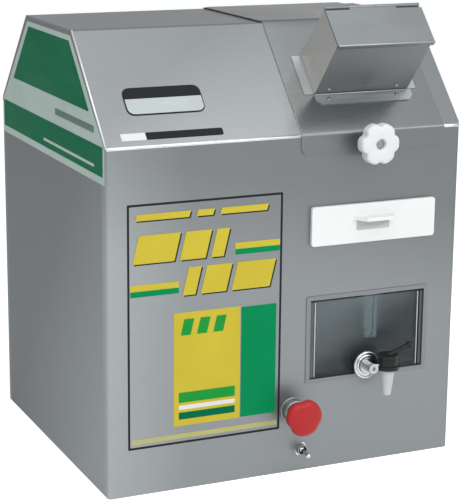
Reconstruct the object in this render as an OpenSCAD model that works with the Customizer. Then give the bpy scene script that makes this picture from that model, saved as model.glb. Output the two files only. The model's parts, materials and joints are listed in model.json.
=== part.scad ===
// Electric sugarcane juicer: a table-top roller mill in a folded steel casing
// Front faces -Y, +X is the viewer's right, +Z is up, origin at the middle of the base

/* [Casing] */
// Width of the casing
casing_w = 400; // [396:1:420]
// Depth of the casing
casing_d = 346; // [342:1:370]
// Height of the front and rear folds
fold_h = 363; // [361:1:375]
// Height of the flat top
casing_h = 468; // [464:1:490]
// Depth of the flat top
ridge_d = 150; // [140:1:160]
// Thickness of the casing sheets
sheet = 1.5; // [1:0.1:2]
// Outside radius of the folds
bend_r = 5; // [4:0.5:8]
// Radius of the casing's upright corners
corner_r = 4; // [3:0.5:6]
// Thickness of the base plate
base_t = 3; // [2:0.5:6]

/* [Roll cover] */
// Distance of the cover from the casing's right side
cover_side = 21; // [16:0.5:24]
// How far the cover reaches past the rolls at each end
cover_past = 14.5; // [13:0.5:17]
// Depth of the front flange below the fold
flange_h = 20; // [18:0.5:25]
// How far the cover laps over the hood's opening
cover_lap = 8; // [5:0.5:12]
// Length of the lip down the rear slope
rear_lip = 18; // [12:1:30]

/* [Feed chute] */
// Sideways shift of the chute from the middle of the mill
chute_shift = 0.1; // [-2:0.1:2]
// Distance of the chute's walls inside the rolls' ends
chute_inset = 14; // [12:0.5:19]
// Distance of the chute's foot up the slope
chute_s = 47; // [44:0.5:50]
// Depth of the chute along the slope
chute_d = 52; // [48:0.5:58]
// Height of the chute above the slope
chute_h = 75; // [60:1:85]
// How far the front wall leans back
chute_lean = 7.7; // [4:0.1:10]
// Thickness of the chute's sheets
chute_t = 1.5; // [1:0.1:2]
// Radius of the lid's hinge pin
pin_r = 1; // [0.8:0.1:1.4]

/* [Clamp knob] */
// Sideways shift of the knob from the middle of the mill
knob_shift = -7.5; // [-12:0.5:12]
// Drop of the knob below the fold
knob_drop = 9; // [9:0.5:11]
// Radius over the lobes
knob_r = 23; // [20:0.5:26]
// Depth of the lobed head
knob_t = 14; // [10:0.5:18]
// Radius of the stud
stud_r = 5; // [4:0.5:6]

/* [Mill] */
// Depth place of the top roll's axis
mill_y = -37; // [-40:0.5:-34]
// Height of the top roll's axis
mill_z = 386; // [385:0.5:392]
// Length of the rolls as a share of the casing's width
roll_len_share = 0.345; // [0.335:0.005:0.35]
// Radius of the rolls
roll_r = 35; // [33:0.1:35.4]
// Half the spread of the two lower rolls
roll_spread = 42; // [41.5:0.1:44]
// Radius of the roll shafts
shaft_r = 15; // [13:0.5:16]
// Thickness of the cheek plates
cheek_t = 12; // [10:0.5:12.5]
// Wall of the bronze bushes
bush_wall = 5; // [3:0.5:6]

/* [Drive] */
// Module of the roll gears
gear_m = 4; // [4:0.1:4.1]
// Width of the roll gears
gear_w = 20; // [16:1:22]
// Gap between the motor's fins and the roll gears
drive_gap = 8; // [7:0.5:15]
// Radius of the reducer's drum
reducer_r = 62; // [61:0.5:64]
// Radius of the motor's frame without fins
motor_r = 60; // [59:0.5:62]
// Length of the motor's frame
motor_len = 164; // [150:1:175]
// Radius of the motor's shaft
motor_shaft_r = 9; // [8:0.5:10]

/* [Juice drawer] */
// Sideways shift of the drawer from the middle of the mill
drawer_shift = 1.5; // [-1:0.5:2.5]
// How far the drawer's front laps past its box at each side
drawer_front_lap = 9; // [7:0.5:11]
// Lower edge of the drawer's front
drawer_front_z = 246; // [242:0.5:248]
// Height of the drawer's front
drawer_front_h = 41.5; // [40:0.5:44]
// Gap between the drawer's box and the cheek plates
drawer_side = 6; // [5:0.5:10]
// Height of the drawer's box
drawer_h = 28; // [24:0.5:29]
// Depth of the drawer's box
drawer_d = 215; // [200:1:220]
// Wall of the drawer
drawer_wall = 2.5; // [2:0.1:3]

/* [Juice tank] */
// Sideways shift of the tank from the middle of the mill
tank_shift = -1.1; // [-2.5:0.1:0.5]
// Distance of the window's sides inside the cheek plates
window_inset = 1; // [1:0.5:2]
// Lower edge of the window
window_z = 99.5; // [98:0.5:101]
// Height of the window
window_h = 88; // [86:0.5:90]
// Distance of the tank's sides inside the window
tank_side = 6.5; // [5:0.5:9]
// Depth of the tank
tank_d = 180; // [170:1:190]
// Wall of the tank
tank_wall = 3; // [2:0.25:3.5]
// Radius of the drop tube
tube_r = 11; // [9:0.5:12]

/* [Tap] */
// Sideways shift of the tap's shank from the middle of the tank
tap_shift = -6; // [-10:0.2:-2]
// Height of the shank above the window's lower edge
tap_rise = 13.3; // [13:0.1:15]
// Radius of the shank
shank_r = 7; // [6:0.25:7]
// Radius of the chrome flange
tap_flange_r = 15; // [13:0.5:16]
// Radius of the black barrel
barrel_r = 11; // [9:0.5:12]
// Height of the black barrel
barrel_h = 11.5; // [10:0.5:14]
// Length of the white spout
spout_len = 28.5; // [24:0.5:32]

/* [Emergency stop] */
// Distance of the button left of the middle of the mill
estop_away = 89; // [88:0.1:92]
// Height of the button
estop_z = 70; // [66:0.5:74]
// Radius of the red head
estop_r = 20; // [18:0.5:22]
// Travel of the button
estop_travel = 5; // [4:0.5:6]

/* [Toggle switch] */
// Distance of the switch left of the middle of the mill
toggle_away = 79; // [78:0.5:81]
// Height of the switch
toggle_z = 25; // [22:0.5:28]
// Radius of the threaded bush
toggle_r = 5.5; // [5:0.25:6]
// Length of the lever
toggle_len = 17; // [14:0.5:20]

/* [Rear] */
// Distance of the bagasse outlet's sides inside the rolls' ends
outlet_inset = 3; // [2:0.5:6]
// Lower edge of the bagasse outlet
outlet_z = 240; // [236:1:244]
// Height of the bagasse outlet
outlet_h = 88; // [80:1:100]
// How far the bagasse slide stands out
slide_out = 32; // [24:1:40]

/* [Hidden] */
$fn = 64;

// Overrun of every cut past the face it opens
over = 1;
// Gap between pieces that slide or turn past each other
slide_gap = 0.3;
// Radial gap of a running fit
run_gap = 0.05;
// Segments in each fold's bend
bend_steps = 8;

// Casing values
half_w = casing_w / 2;
half_d = casing_d / 2;
front_y = -half_d;
slope = atan2(casing_h - fold_h, half_d - ridge_d / 2);
bend_run = bend_r / tan((90 + slope) / 2);
panel_top = fold_h - bend_run;
return_d = 12;
base_points = [[-half_d, 0], [-half_d, fold_h], [-ridge_d / 2, casing_h], [ridge_d / 2, casing_h],
    [half_d, fold_h], [half_d, 0]];
screw_r = 3.2;
screw_head_t = 2;

// Cover values: the cover lies over the hood by a gap and its own sheet
cover_in = slide_gap;
cover_out = slide_gap + sheet;
cover_corner_r = 7;
flange_z = fold_h - flange_h;
slot_gap = 1;
roll_len = casing_w * roll_len_share;
cover_x1 = half_w - cover_side;
cover_x0 = cover_x1 - roll_len - 2 * cover_past;
mill_x = (cover_x0 + cover_x1) / 2;

// Chute values, along the slope (s) and out from it (n)
chute_w = roll_len - 2 * chute_inset;
chute_x = mill_x + chute_shift - chute_w / 2;
chute_top = cover_out + chute_h;
chute_end = chute_s + chute_d;
knuckle_r = 1.9;
knuckle_gap = 0.5;
lid_n = chute_top + slide_gap;
pin_n = lid_n + chute_t / 2;
pin_s = chute_end + knuckle_r + knuckle_gap;
lid_lip = 3.5;
lid_front_gap = 0.6;
lid_front_s = chute_s + chute_lean * (chute_h - lid_lip) / chute_h - lid_front_gap - chute_t;
strip_w = 13.3;
strip_chamfer = 6;
strip_overhang = 4;
rivet_r = 2.4;
rivet_h = 1.6;
rivet_inset = 15;
rivet_rise = 7;

// Knob values, measured out from the front panel
knob_x = mill_x + knob_shift;
washer_t = 1.5;
washer_r = 10;
washer_out = cover_out + slide_gap;
hub_r = 11.5;
hub_len = 13;
knob_out = washer_out + washer_t + slide_gap;
knob_face = knob_out + hub_len + knob_t;
knob_round = 3;
knob_notch_r = 5;
knob_lobes = 6;
knob_recess_r = 6.5;
knob_recess = 6;
stud_back = 16;
stud_nut_share = 1.6;
stud_nut_r = stud_r * stud_nut_share;
knob_z = fold_h - knob_drop;
stud_nut_t = 8;

// Mill values
roll_side_gap = 1;
groove_count = 17;
groove_depth = 1.2;
cheek_in_l = mill_x - roll_len / 2 - roll_side_gap;
cheek_in_r = mill_x + roll_len / 2 + roll_side_gap;
cheek_front = -115;
cheek_back = 62;
cheek_chamfer = 34;
cheek_rise = 42;
cheek_top = mill_z + cheek_rise;
gear_teeth = 18;
gear_c = gear_m * gear_teeth;
roll_drop = sqrt(gear_c * gear_c - roll_spread * roll_spread);
lower_z = mill_z - roll_drop;
front_roll_y = mill_y - roll_spread;
rear_roll_y = mill_y + roll_spread;
bush_flange = 4;
bush_flange_t = 3;
bush_r = shaft_r + run_gap + bush_wall;
shaft_end = 3;
gear_gap = 1.5;
gear_x1 = cheek_in_l - cheek_t - bush_flange_t - gear_gap;
gear_x0 = gear_x1 - gear_w;
backlash = 1;
tie_r = 8;
tie_head_r = 12;
tie_head_t = 4;
tie_margin = 18;
tie_away = [25, 38.5];
tie_low_z = 60;
tie_points = [[front_roll_y - tie_away.x, lower_z - tie_away.y],
    [rear_roll_y + tie_away.x, lower_z - tie_away.y],
    [cheek_front + tie_margin, tie_low_z],
    [cheek_back - tie_margin, tie_low_z]];
turn_gap = 1.5;
turn_len = 62;

// Reducer and motor values
wheel_teeth = 40;
wheel_m = 2.5;
wheel_r = wheel_m * wheel_teeth / 2;
worm_r = 15;
worm_depth = 2.5;
worm_y = mill_y + wheel_r + worm_r;
worm_turns = 5;
worm_lead = PI * wheel_m;
worm_sides = 20;
worm_slices = 50;
worm_bump_r = 12;
wheel_w = 14;
wheel_tooth = 2.6;
wheel_tip = 2;
wheel_root = 3.1;
reducer_w = 70;
reducer_wall = 6;
reducer_room = 3;
reducer_hub_r = 22;
worm_tube_r = reducer_w / 2 - reducer_wall - slide_gap;
worm_bore_r = 20;
worm_tube_down = 68;
worm_tube_up = 50;
shield_t = 14;
bearing_r = 17;
bearing_t = 10;
motor_wall = 5;
fin_count = 24;
fin_h = 6;
fin_t = 2.4;
reducer_x = gear_x0 - drive_gap - motor_r - fin_h;
air_gap = 0.6;
stator_in = 36;
stator_margin = 30;
rotor_margin = 34;
fan_t = 12;
fan_gap = 3;
fan_blades = 8;
fan_blade_t = 2;
fan_disc_t = 3;
fan_inset = 6;
fan_r = motor_r - fan_inset;
cowl_t = 1.5;
cowl_room = 24;
motor_top = mill_z - worm_tube_down;
frame_top = motor_top - shield_t;
frame_bottom = frame_top - motor_len;
shield_bottom = frame_bottom - shield_t;
fan_top = shield_bottom - fan_gap;
cowl_bottom = shield_bottom - cowl_room;
foot_w = 30;
foot_rise = 4;
bracket_y = worm_y + motor_r + fin_h + foot_rise;
bracket_t = 6;
bracket_foot = 50;
bracket_w = 110;
terminal_size = [60, 26, 70];

// Drawer values
drawer_x = mill_x + drawer_shift;
drawer_w = cheek_in_r - cheek_in_l - 2 * drawer_side;
drawer_front_w = drawer_w + 2 * drawer_front_lap;
front_corner_r = 3;
drawer_front_t = 4;
drawer_gap = 1;
drawer_lift = 4;
drawer_z = drawer_front_z + drawer_lift;
pull_w = 50;
pull_tip_w = 30;
pull_reach = 14;
pull_t = 4;
pull_rise_share = 0.6;
strainer_t = 1.5;
strainer_ledge = 6;
strainer_hole_r = 3;
strainer_pitch = 15;
rail_t = 2;
rail_lap = 5;
rail_h = 14;
rail_front_gap = 2;
sump_wall = 2;
sump_h = 34;
sump_fall = 12;
sump_back = 50;

// Tank values
tank_x = mill_x + tank_shift;
window_w = cheek_in_r - cheek_in_l - 2 * window_inset;
tank_w = window_w - 2 * tank_side;
frame_lip = 4;
frame_t = 0.8;
frame_depth = 8;
tank_recess = 1;
tank_floor = 4;
tank_gap = 1.5;
tank_z = window_z + tank_gap;
tank_h = window_h - 3 * tank_gap;
shelf_t = 2;
shelf_back = 20;
tube_shift = 13;
tube_back = 21;
tube_x = tank_x + tube_shift;
tube_y = front_y + tube_back;
tube_wall = 1.5;
tube_drop = 50;

// Tap values, measured out from the front panel
tap_x = tank_x + tap_shift;
tap_z = window_z + tap_rise;
seal_r = 10;
seal_out = 1.5;
tap_nut_t = 6;
hex_sides = 6;
tap_nut_r = (tap_z - tank_z - tank_floor - slide_gap) / cos(180 / hex_sides);
shank_tail = 2;
neck_len = 8;
neck_r = 8.5;
disc_t = 3;
cup_len = neck_len + disc_t;
ring_r = 9;
ring_len = 3;
stub_r = 5.5;
stub_len = 13;
stub_hole_r = 2;
stub_hole_d = 4;
stub_out = seal_out + cup_len + ring_len + stub_len;
port_back = 3.5;
port_out = stub_out - port_back;
barrel_gap = 1.8;
barrel_x = tap_x + stub_r + barrel_gap + barrel_r;
barrel_low = 2.5;
barrel_z = tap_z - barrel_low;
collar_h = 4;
collar_step = 1.5;
port_r = 3.5;
port_rise = 2.5;
spout_top_r = 8;
spout_tip_r = 4.5;
spout_bore_r = 3;
lever_hub_h = 4;
lever_len = 27;
lever_r = 3;
lever_knob_r = 4.2;
lever_tilt = 20;
lever_pin_r = 3;

// Emergency stop values, measured out from the front panel
estop_x = mill_x - estop_away;
estop_collar_r = 15;
estop_collar_t = 10;
estop_rod_r = 8;
estop_tip_r = 6;
estop_neck = 13.5;
estop_head_t = 13;
estop_tip = 6;
estop_notch_r = 5;
estop_notches = 3;
estop_hole_r = 11;
estop_barrel = 12;
estop_block_size = [28, 34, 40];

// Toggle values
toggle_x = mill_x - toggle_away;
toggle_out = 8;
toggle_nut_r = 8;
toggle_nut_t = 2.5;
toggle_ball_r = 4;
toggle_tip_r = 2.6;
toggle_root_r = 1.6;
toggle_droop = 5;
toggle_body_size = [18, 24, 14];

// Rear values
vent_count = 7;
vent_w = 110;
vent_h = 5;
vent_pitch = 14;
vent_z = 120;
vent_x = reducer_x;
gland_side = 50;
gland_x = gland_side - half_w;
outlet_w = roll_len - 2 * outlet_inset;
gland_z = 45;
gland_r = 8;
gland_flange_r = 12;
gland_out = 10;
slide_t = 2;
slide_side = 20;
slide_pin_r = 3;
slide_pin_drop = slide_pin_r + slide_t / 2;
slide_roll_angle = 20;
slide_start = [rear_roll_y + (roll_r + turn_gap) * cos(slide_roll_angle),
    lower_z + (roll_r + turn_gap) * sin(slide_roll_angle)];
slide_rise = 16;
slide_end = [half_d + slide_out, outlet_z + slide_rise - slide_out / 2];

// Unit vector along v
function unit(v) = v / norm(v);

// Point p moved t into the corner between its neighbours a and b
function inset(a, p, b, t) =
    let (u = unit(a - p), v = unit(b - p), half = acos(u * v) / 2)
    p + unit(u + v) * t / sin(half);

// Arc of radius r that rounds the corner p between a and b
function bend(a, p, b, r) =
    let (u = unit(a - p), v = unit(b - p), half = acos(u * v) / 2,
        c = p + unit(u + v) * r / sin(half),
        from = p + u * r / tan(half) - c, to = p + v * r / tan(half) - c,
        start = atan2(from.y, from.x),
        turn = (atan2(to.y, to.x) - start + 360 + 180) % 360 - 180)
    [for (i = [0 : bend_steps])
        let (at = start + turn * i / bend_steps) c + r * [cos(at), sin(at)]];

// Corners of the casing's outline moved t inwards
function house(t) = [for (i = [0 : len(base_points) - 1])
    (i == 0) ? [t - half_d, 0]
    : (i == len(base_points) - 1) ? [half_d - t, 0]
    : inset(base_points[i - 1], base_points[i], base_points[i + 1], t)];

// Rounded folds numbered a to b of the outline moved t inwards
function folds(t, a, b) = let (p = house(t))
    [for (i = [a : b], q = bend(p[i - 1], p[i], p[i + 1], bend_r - t)) q];

function reversed(v) = [for (i = [len(v) - 1 : -1 : 0]) v[i]];

// Outline of the hood's sheet at an inset of t, from front panel to rear panel
function hood_line(t) = concat([[t - half_d, panel_top]], folds(t, 1, 4), [[half_d - t, panel_top]]);

// Outline of the cover's sheet at an inset of t, from front flange to rear lip
function cover_line(t) = let (p = house(t))
    concat([[t - half_d, flange_z]], folds(t, 1, 3), [p[3] + rear_lip * unit(p[4] - p[3])]);

// One tooth of a straight-sided gear: rim angles at root, pitch and tip
function tooth(r_root, r_pitch, r_tip, w_root, w_pitch, w_tip, at) = let (deg = 180 / PI)
    [for (q = [[r_root, -w_root], [r_pitch, -w_pitch], [r_tip, -w_tip], [r_tip, w_tip], [r_pitch, w_pitch],
        [r_root, w_root]]) let (a = at + q[1] / 2 / q[0] * deg) q[0] * [cos(a), sin(a)]];

// Outline of a roll gear with a tooth at the angle given
gear_root = 1.25;
root_share = 1.45;
tip_share = 0.5;
function roll_gear_line(at) = let (p = gear_c / 2, w = PI * gear_m / 2 - backlash)
    [for (i = [0 : gear_teeth - 1], q = tooth(p - gear_root * gear_m, p, p + gear_m,
        w * root_share, w, w * tip_share, at + i * 360 / gear_teeth)) q];

// Outline of the worm wheel
wheel_root_share = 1.5;
wheel_tip_share = 0.6;
function wheel_line() =
    [for (i = [0 : wheel_teeth - 1], q = tooth(wheel_r - wheel_root, wheel_r, wheel_r + wheel_tip,
        wheel_tooth * wheel_root_share, wheel_tooth, wheel_tooth * wheel_tip_share,
        i * 360 / wheel_teeth)) q];

// Extrude a (y, z) shape along X
module along_x(x0, x1) {
    translate([x0, 0, 0]) rotate([90, 0, 90]) linear_extrude(x1 - x0) children();
}

// Cylinder along X about the point at = [y, z]
module rod_x(x0, x1, r, at) {
    translate([x0, at.x, at.y]) rotate([0, 90, 0]) cylinder(r = r, h = x1 - x0);
}

// Place at a point (x, z) of the front panel, with +Z out of the panel
module on_front(x, z, out = 0) {
    translate([x, front_y - out, z]) rotate([90, 0, 0]) children();
}

// Place on the front slope: x, s up the slope, n out from it
module on_slope(x, s, n) {
    translate([0, front_y, fold_h]) rotate([slope, 0, 0]) translate([x, s, n]) children();
}

// Block between two corners
module block(a, b) {
    translate(a) cube(b - a);
}

// Rectangle with round corners, from its lower corner
module round_rect(size, r) {
    union() {
        translate([r, 0]) square([size.x - 2 * r, size.y]);
        translate([0, r]) square([size.x, size.y - 2 * r]);
        for (x = [r, size.x - r], y = [r, size.y - r]) translate([x, y]) circle(r);
    }
}

// Plan of the casing moved t inwards
module plan(t) {
    translate([t - half_w, t - half_d]) round_rect([casing_w - 2 * t, casing_d - 2 * t], corner_r - t);
}

// Upright sheet of the front (side = -1) or rear (side = 1), with its round corners and short returns
module upright(side) {
    linear_extrude(panel_top) intersection() {
        difference() {
            plan(0);
            plan(sheet);
        }
        translate([-half_w, side > 0 ? half_d - return_d : -half_d]) square([casing_w, return_d]);
    }
}

// Casing
steel = "LightSlateGray";

module base_plate() {
    color("DimGray") linear_extrude(base_t) plan(sheet);
}

module front_panel() {
    color(steel) difference() {
        upright(-1);
        block([drawer_x - drawer_w / 2 - drawer_gap, front_y - over, drawer_z - drawer_gap],
            [drawer_x + drawer_w / 2 + drawer_gap, front_y + sheet + over,
                drawer_z + drawer_h + drawer_gap]);
        block([tank_x - window_w / 2, front_y - over, window_z],
            [tank_x + window_w / 2, front_y + sheet + over, window_z + window_h]);
        for (hole = [[estop_x, estop_z, estop_hole_r],
                [toggle_x, toggle_z, toggle_r],
                [knob_x, knob_z, stud_r]])
            on_front(hole.x, hole.y, -sheet - over) cylinder(r = hole.z, h = sheet + 2 * over);
    }
}

// Flat side between the returns of the front and rear sheets
module side_sheet() {
    gable = concat([[return_d - half_d, 0], [return_d - half_d, panel_top], [sheet - half_d, panel_top]],
        folds(sheet, 1, 4),
        [[half_d - sheet, panel_top], [half_d - return_d, panel_top], [half_d - return_d, 0]]);
    along_x(-half_w, sheet - half_w) polygon(gable);
}

module left_side_panel() {
    color(steel) side_sheet();
}

module right_side_panel() {
    color(steel) mirror([1, 0, 0]) side_sheet();
}

module rear_panel() {
    color(steel) difference() {
        upright(1);
        block([mill_x - outlet_w / 2, half_d - sheet - over, outlet_z],
            [mill_x + outlet_w / 2, half_d + over, outlet_z + outlet_h]);
        for (i = [0 : vent_count - 1])
            block([vent_x - vent_w / 2, half_d - sheet - over, vent_z + i * vent_pitch],
                [vent_x + vent_w / 2, half_d + over, vent_z + i * vent_pitch + vent_h]);
        translate([gland_x, half_d + over, gland_z])
            rotate([90, 0, 0]) cylinder(r = gland_r, h = sheet + 2 * over);
    }
}

module hood() {
    color(steel) difference() {
        intersection() {
            along_x(-half_w, half_w) polygon(concat(hood_line(0), reversed(hood_line(sheet))));
            linear_extrude(casing_h + over) plan(0);
        }
        block([cover_x0 + cover_lap, cover_lap - half_d, panel_top],
            [cover_x1 - cover_lap, ridge_d / 2 - cover_lap, casing_h + over]);
    }
}

screw_inset = 20;
screw_rows = 4;
module casing_screws() {
    color("Silver") for (x = [-1, 1], i = [0 : screw_rows - 1])
        translate([x * (half_w - screw_inset), half_d,
            screw_inset + i * (panel_top - 2 * screw_inset) / (screw_rows - 1)])
            rotate([-90, 0, 0]) cylinder(r1 = screw_r, r2 = screw_r - screw_head_t / 2, h = screw_head_t);
}

module cable_gland() {
    color("DimGray") translate([gland_x, half_d, gland_z]) rotate([-90, 0, 0]) difference() {
        union() {
            cylinder(r = gland_flange_r, h = gland_out / 2, $fn = 6);
            cylinder(r = gland_r, h = gland_out);
            translate([0, 0, -sheet - gland_out]) cylinder(r = gland_r, h = sheet + gland_out);
        }
        translate([0, 0, -sheet - gland_out - over])
            cylinder(r = gland_r / 2, h = sheet + 2 * gland_out + 2 * over);
    }
}

module window_frame() {
    x0 = tank_x - window_w / 2;
    color("Silver") difference() {
        union() {
            on_front(x0 - frame_lip, window_z - frame_lip) linear_extrude(frame_t)
                round_rect([window_w + 2 * frame_lip, window_h + 2 * frame_lip], front_corner_r);
            on_front(x0, window_z, -frame_depth) linear_extrude(frame_depth) square([window_w, window_h]);
        }
        on_front(x0 + frame_t, window_z + frame_t, -frame_depth - over)
            linear_extrude(frame_depth + frame_t + 2 * over)
                square([window_w - 2 * frame_t, window_h - 2 * frame_t]);
    }
}

// Roll cover, chute and lid
module corner_cut(r, side) {
    difference() {
        translate([side > 0 ? 0 : -r - over, -r - over]) square(r + over);
        circle(r);
    }
}

module roll_cover() {
    color(steel) difference() {
        along_x(cover_x0, cover_x1) polygon(concat(cover_line(-cover_out), reversed(cover_line(-cover_in))));
        on_slope(chute_x + chute_t, chute_s + chute_t, -cover_out)
            cube([chute_w - 2 * chute_t, chute_d - 2 * chute_t, cover_out * 2 + over]);
        for (edge = [[cover_x0, 1], [cover_x1, -1]])
            on_front(edge.x + edge.y * cover_corner_r, flange_z + cover_corner_r, -over)
                linear_extrude(cover_out + 2 * over) corner_cut(cover_corner_r, -edge.y);
        on_front(knob_x, knob_z, -over) cylinder(r = stud_r + slot_gap, h = cover_out + 2 * over);
        block([knob_x - stud_r - slot_gap, front_y - cover_out - over, flange_z - over],
            [knob_x + stud_r + slot_gap, front_y + over, knob_z]);
    }
}

// Side outline of the chute (s, n) with its walls moved t inwards, from n0 to n1
function chute_line(t, n0, n1) = let (lean = chute_lean / chute_h)
    [[chute_s + t + lean * (n0 - cover_out), n0], [chute_end - t, n0], [chute_end - t, n1],
        [chute_s + t + lean * (n1 - cover_out), n1]];

knuckle_share = 0.25;
knuckle_web = knuckle_r;
module chute_knuckles() {
    for (x = [chute_x, chute_x + chute_w * (1 - knuckle_share)]) {
        on_slope(x, pin_s, pin_n) rotate([0, 90, 0]) cylinder(r = knuckle_r, h = chute_w * knuckle_share);
        on_slope(x, chute_end - chute_t, pin_n - knuckle_r)
            cube([chute_w * knuckle_share, pin_s - chute_end + chute_t,
                knuckle_web - slide_gap - chute_t / 2]);
    }
}

module feed_chute() {
    color(steel) difference() {
        union() {
            on_slope(0, 0, 0)
                along_x(chute_x, chute_x + chute_w) polygon(chute_line(0, cover_out, chute_top));
            chute_knuckles();
        }
        on_slope(0, 0, 0) along_x(chute_x + chute_t, chute_x + chute_w - chute_t)
            polygon(chute_line(chute_t, cover_out - over, chute_top + over));
        on_slope(chute_x - over, pin_s, pin_n)
            rotate([0, 90, 0]) cylinder(r = pin_r, h = chute_w + 2 * over);
    }
}

module chute_strip() {
    color(steel) on_slope(chute_x, chute_s, cover_out) linear_extrude(chute_t)
        polygon([[0, 0], [chute_w + strip_overhang, 0], [chute_w + strip_overhang, strip_chamfer - strip_w],
            [chute_w + strip_overhang - strip_chamfer, -strip_w], [strip_chamfer, -strip_w],
            [0, strip_chamfer - strip_w]]);
}

// Dome head standing on the plane z = 0
module rivet() {
    ball_r = (rivet_r * rivet_r + rivet_h * rivet_h) / (2 * rivet_h);
    intersection() {
        translate([0, 0, rivet_h - ball_r]) sphere(ball_r);
        cylinder(r = rivet_r + over, h = rivet_h + over);
    }
}

module chute_rivets() {
    lean = atan2(chute_lean, chute_h);
    color("Silver") for (x = [chute_x + rivet_inset, chute_x + chute_w - rivet_inset]) {
        on_slope(x, chute_s - strip_w / 2, cover_out + chute_t) rivet();
        on_slope(x, chute_s, cover_out) rotate([90 - lean, 0, 0]) translate([0, rivet_rise, 0]) rivet();
    }
}

module chute_lid() {
    x1 = chute_x + chute_w + slide_gap + chute_t;
    knuckle_x = chute_x + chute_w * knuckle_share + slide_gap;
    knuckle_w = chute_w * (1 - 2 * knuckle_share) - 2 * slide_gap;
    color("Silver") difference() {
        union() {
            on_slope(chute_x, lid_front_s, lid_n)
                cube([x1 - chute_x, chute_end - chute_t - lid_front_s, chute_t]);
            on_slope(chute_x, lid_front_s, lid_n - lid_lip)
                cube([x1 - chute_x, chute_t, lid_lip + chute_t]);
            on_slope(x1 - chute_t, lid_front_s, lid_n - lid_lip)
                cube([chute_t, chute_end - chute_t - lid_front_s, lid_lip + chute_t]);
            on_slope(knuckle_x, chute_end - chute_t - over, lid_n)
                cube([knuckle_w, pin_s - chute_end + chute_t + over, chute_t]);
            on_slope(knuckle_x, pin_s, pin_n) rotate([0, 90, 0]) cylinder(r = knuckle_r, h = knuckle_w);
        }
        on_slope(chute_x - over, pin_s, pin_n)
            rotate([0, 90, 0]) cylinder(r = pin_r + run_gap, h = chute_w + 2 * over);
    }
}

module lid_hinge_pin() {
    color("Gray") on_slope(chute_x, pin_s, pin_n) rotate([0, 90, 0]) cylinder(r = pin_r, h = chute_w);
}

// Clamp knob and stud
module knob_plan() {
    difference() {
        circle(knob_r);
        for (i = [0 : knob_lobes - 1]) rotate((i + 1 / 2) * 360 / knob_lobes)
            translate([knob_r + knob_notch_r / 2, 0]) circle(knob_notch_r);
    }
}

// Half outline of the knob's head with round rims
module knob_side() {
    union() {
        square([knob_r - knob_round, knob_t]);
        translate([0, knob_round]) square([knob_r, knob_t - 2 * knob_round]);
        for (z = [knob_round, knob_t - knob_round]) translate([knob_r - knob_round, z]) circle(knob_round);
    }
}

module clamp_knob() {
    color("White") on_front(knob_x, knob_z, knob_out) difference() {
        union() {
            cylinder(r = hub_r, h = hub_len);
            translate([0, 0, hub_len]) intersection() {
                linear_extrude(knob_t) knob_plan();
                rotate_extrude() intersection() {
                    knob_side();
                    square([knob_r, knob_t]);
                }
            }
        }
        translate([0, 0, -over]) cylinder(r = stud_r + run_gap, h = hub_len + knob_t + 2 * over);
        translate([0, 0, hub_len + knob_t - knob_recess])
            cylinder(r = knob_recess_r, h = knob_recess + over);
    }
}

module clamp_stud() {
    color("Silver") union() {
        on_front(knob_x, knob_z, -stud_back)
            cylinder(r = stud_r, h = stud_back + knob_face - knob_recess / 2);
        on_front(knob_x, knob_z, -sheet - stud_nut_t) cylinder(r = stud_nut_r, h = stud_nut_t, $fn = 6);
        on_front(knob_x, knob_z, washer_out) cylinder(r = washer_r, h = washer_t);
    }
}

// Mill frame
module cheek(x0) {
    plate = [[cheek_front, base_t], [cheek_back, base_t], [cheek_back, cheek_top - cheek_chamfer],
        [cheek_back - cheek_chamfer, cheek_top], [cheek_front + cheek_chamfer, cheek_top],
        [cheek_front, cheek_top - cheek_chamfer]];
    difference() {
        along_x(x0, x0 + cheek_t) polygon(plate);
        for (at = [[mill_y, mill_z], [front_roll_y, lower_z], [rear_roll_y, lower_z]])
            rod_x(x0 - over, x0 + cheek_t + over, bush_r, at);
        for (at = tie_points) rod_x(x0 - over, x0 + cheek_t + over, tie_r / 2, at);
    }
}

module left_cheek() {
    color("Gray") cheek(cheek_in_l - cheek_t);
}

module right_cheek() {
    color("Gray") cheek(cheek_in_r);
}

module tie_rods() {
    color("Silver") for (at = tie_points) union() {
        rod_x(cheek_in_l, cheek_in_r, tie_r, at);
        rod_x(cheek_in_l - cheek_t - tie_head_t, cheek_in_r + cheek_t + tie_head_t, tie_r / 2, at);
        for (x = [cheek_in_l - cheek_t - tie_head_t, cheek_in_r + cheek_t])
            translate([x, at.x, at.y]) rotate([0, 90, 0]) cylinder(r = tie_head_r, h = tie_head_t, $fn = 6);
    }
}

// Roll with a grooved body and a shaft from x0 to x1
module roll(at, x0, x1) {
    pitch = roll_len / groove_count;
    from = mill_x - roll_len / 2;
    body = [for (i = [0 : groove_count - 1])
        each [[roll_r, i * pitch], [roll_r - groove_depth, (i + 1 / 2) * pitch]]];
    translate([0, at.x, at.y]) rotate([0, 90, 0]) union() {
        translate([0, 0, from]) rotate_extrude()
            polygon(concat([[0, 0]], body, [[roll_r, roll_len], [0, roll_len]]));
        translate([0, 0, x0]) cylinder(r = shaft_r, h = x1 - x0);
    }
}

roll_x1 = cheek_in_r + cheek_t + bush_flange_t + shaft_end;
module top_roll() {
    color("Silver") roll([mill_y, mill_z], reducer_x - reducer_w / 2 - shaft_end, roll_x1);
}

module front_roll() {
    color("Silver") roll([front_roll_y, lower_z], gear_x0 - shaft_end, roll_x1);
}

module rear_roll() {
    color("Silver") roll([rear_roll_y, lower_z], gear_x0 - shaft_end, roll_x1);
}

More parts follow.
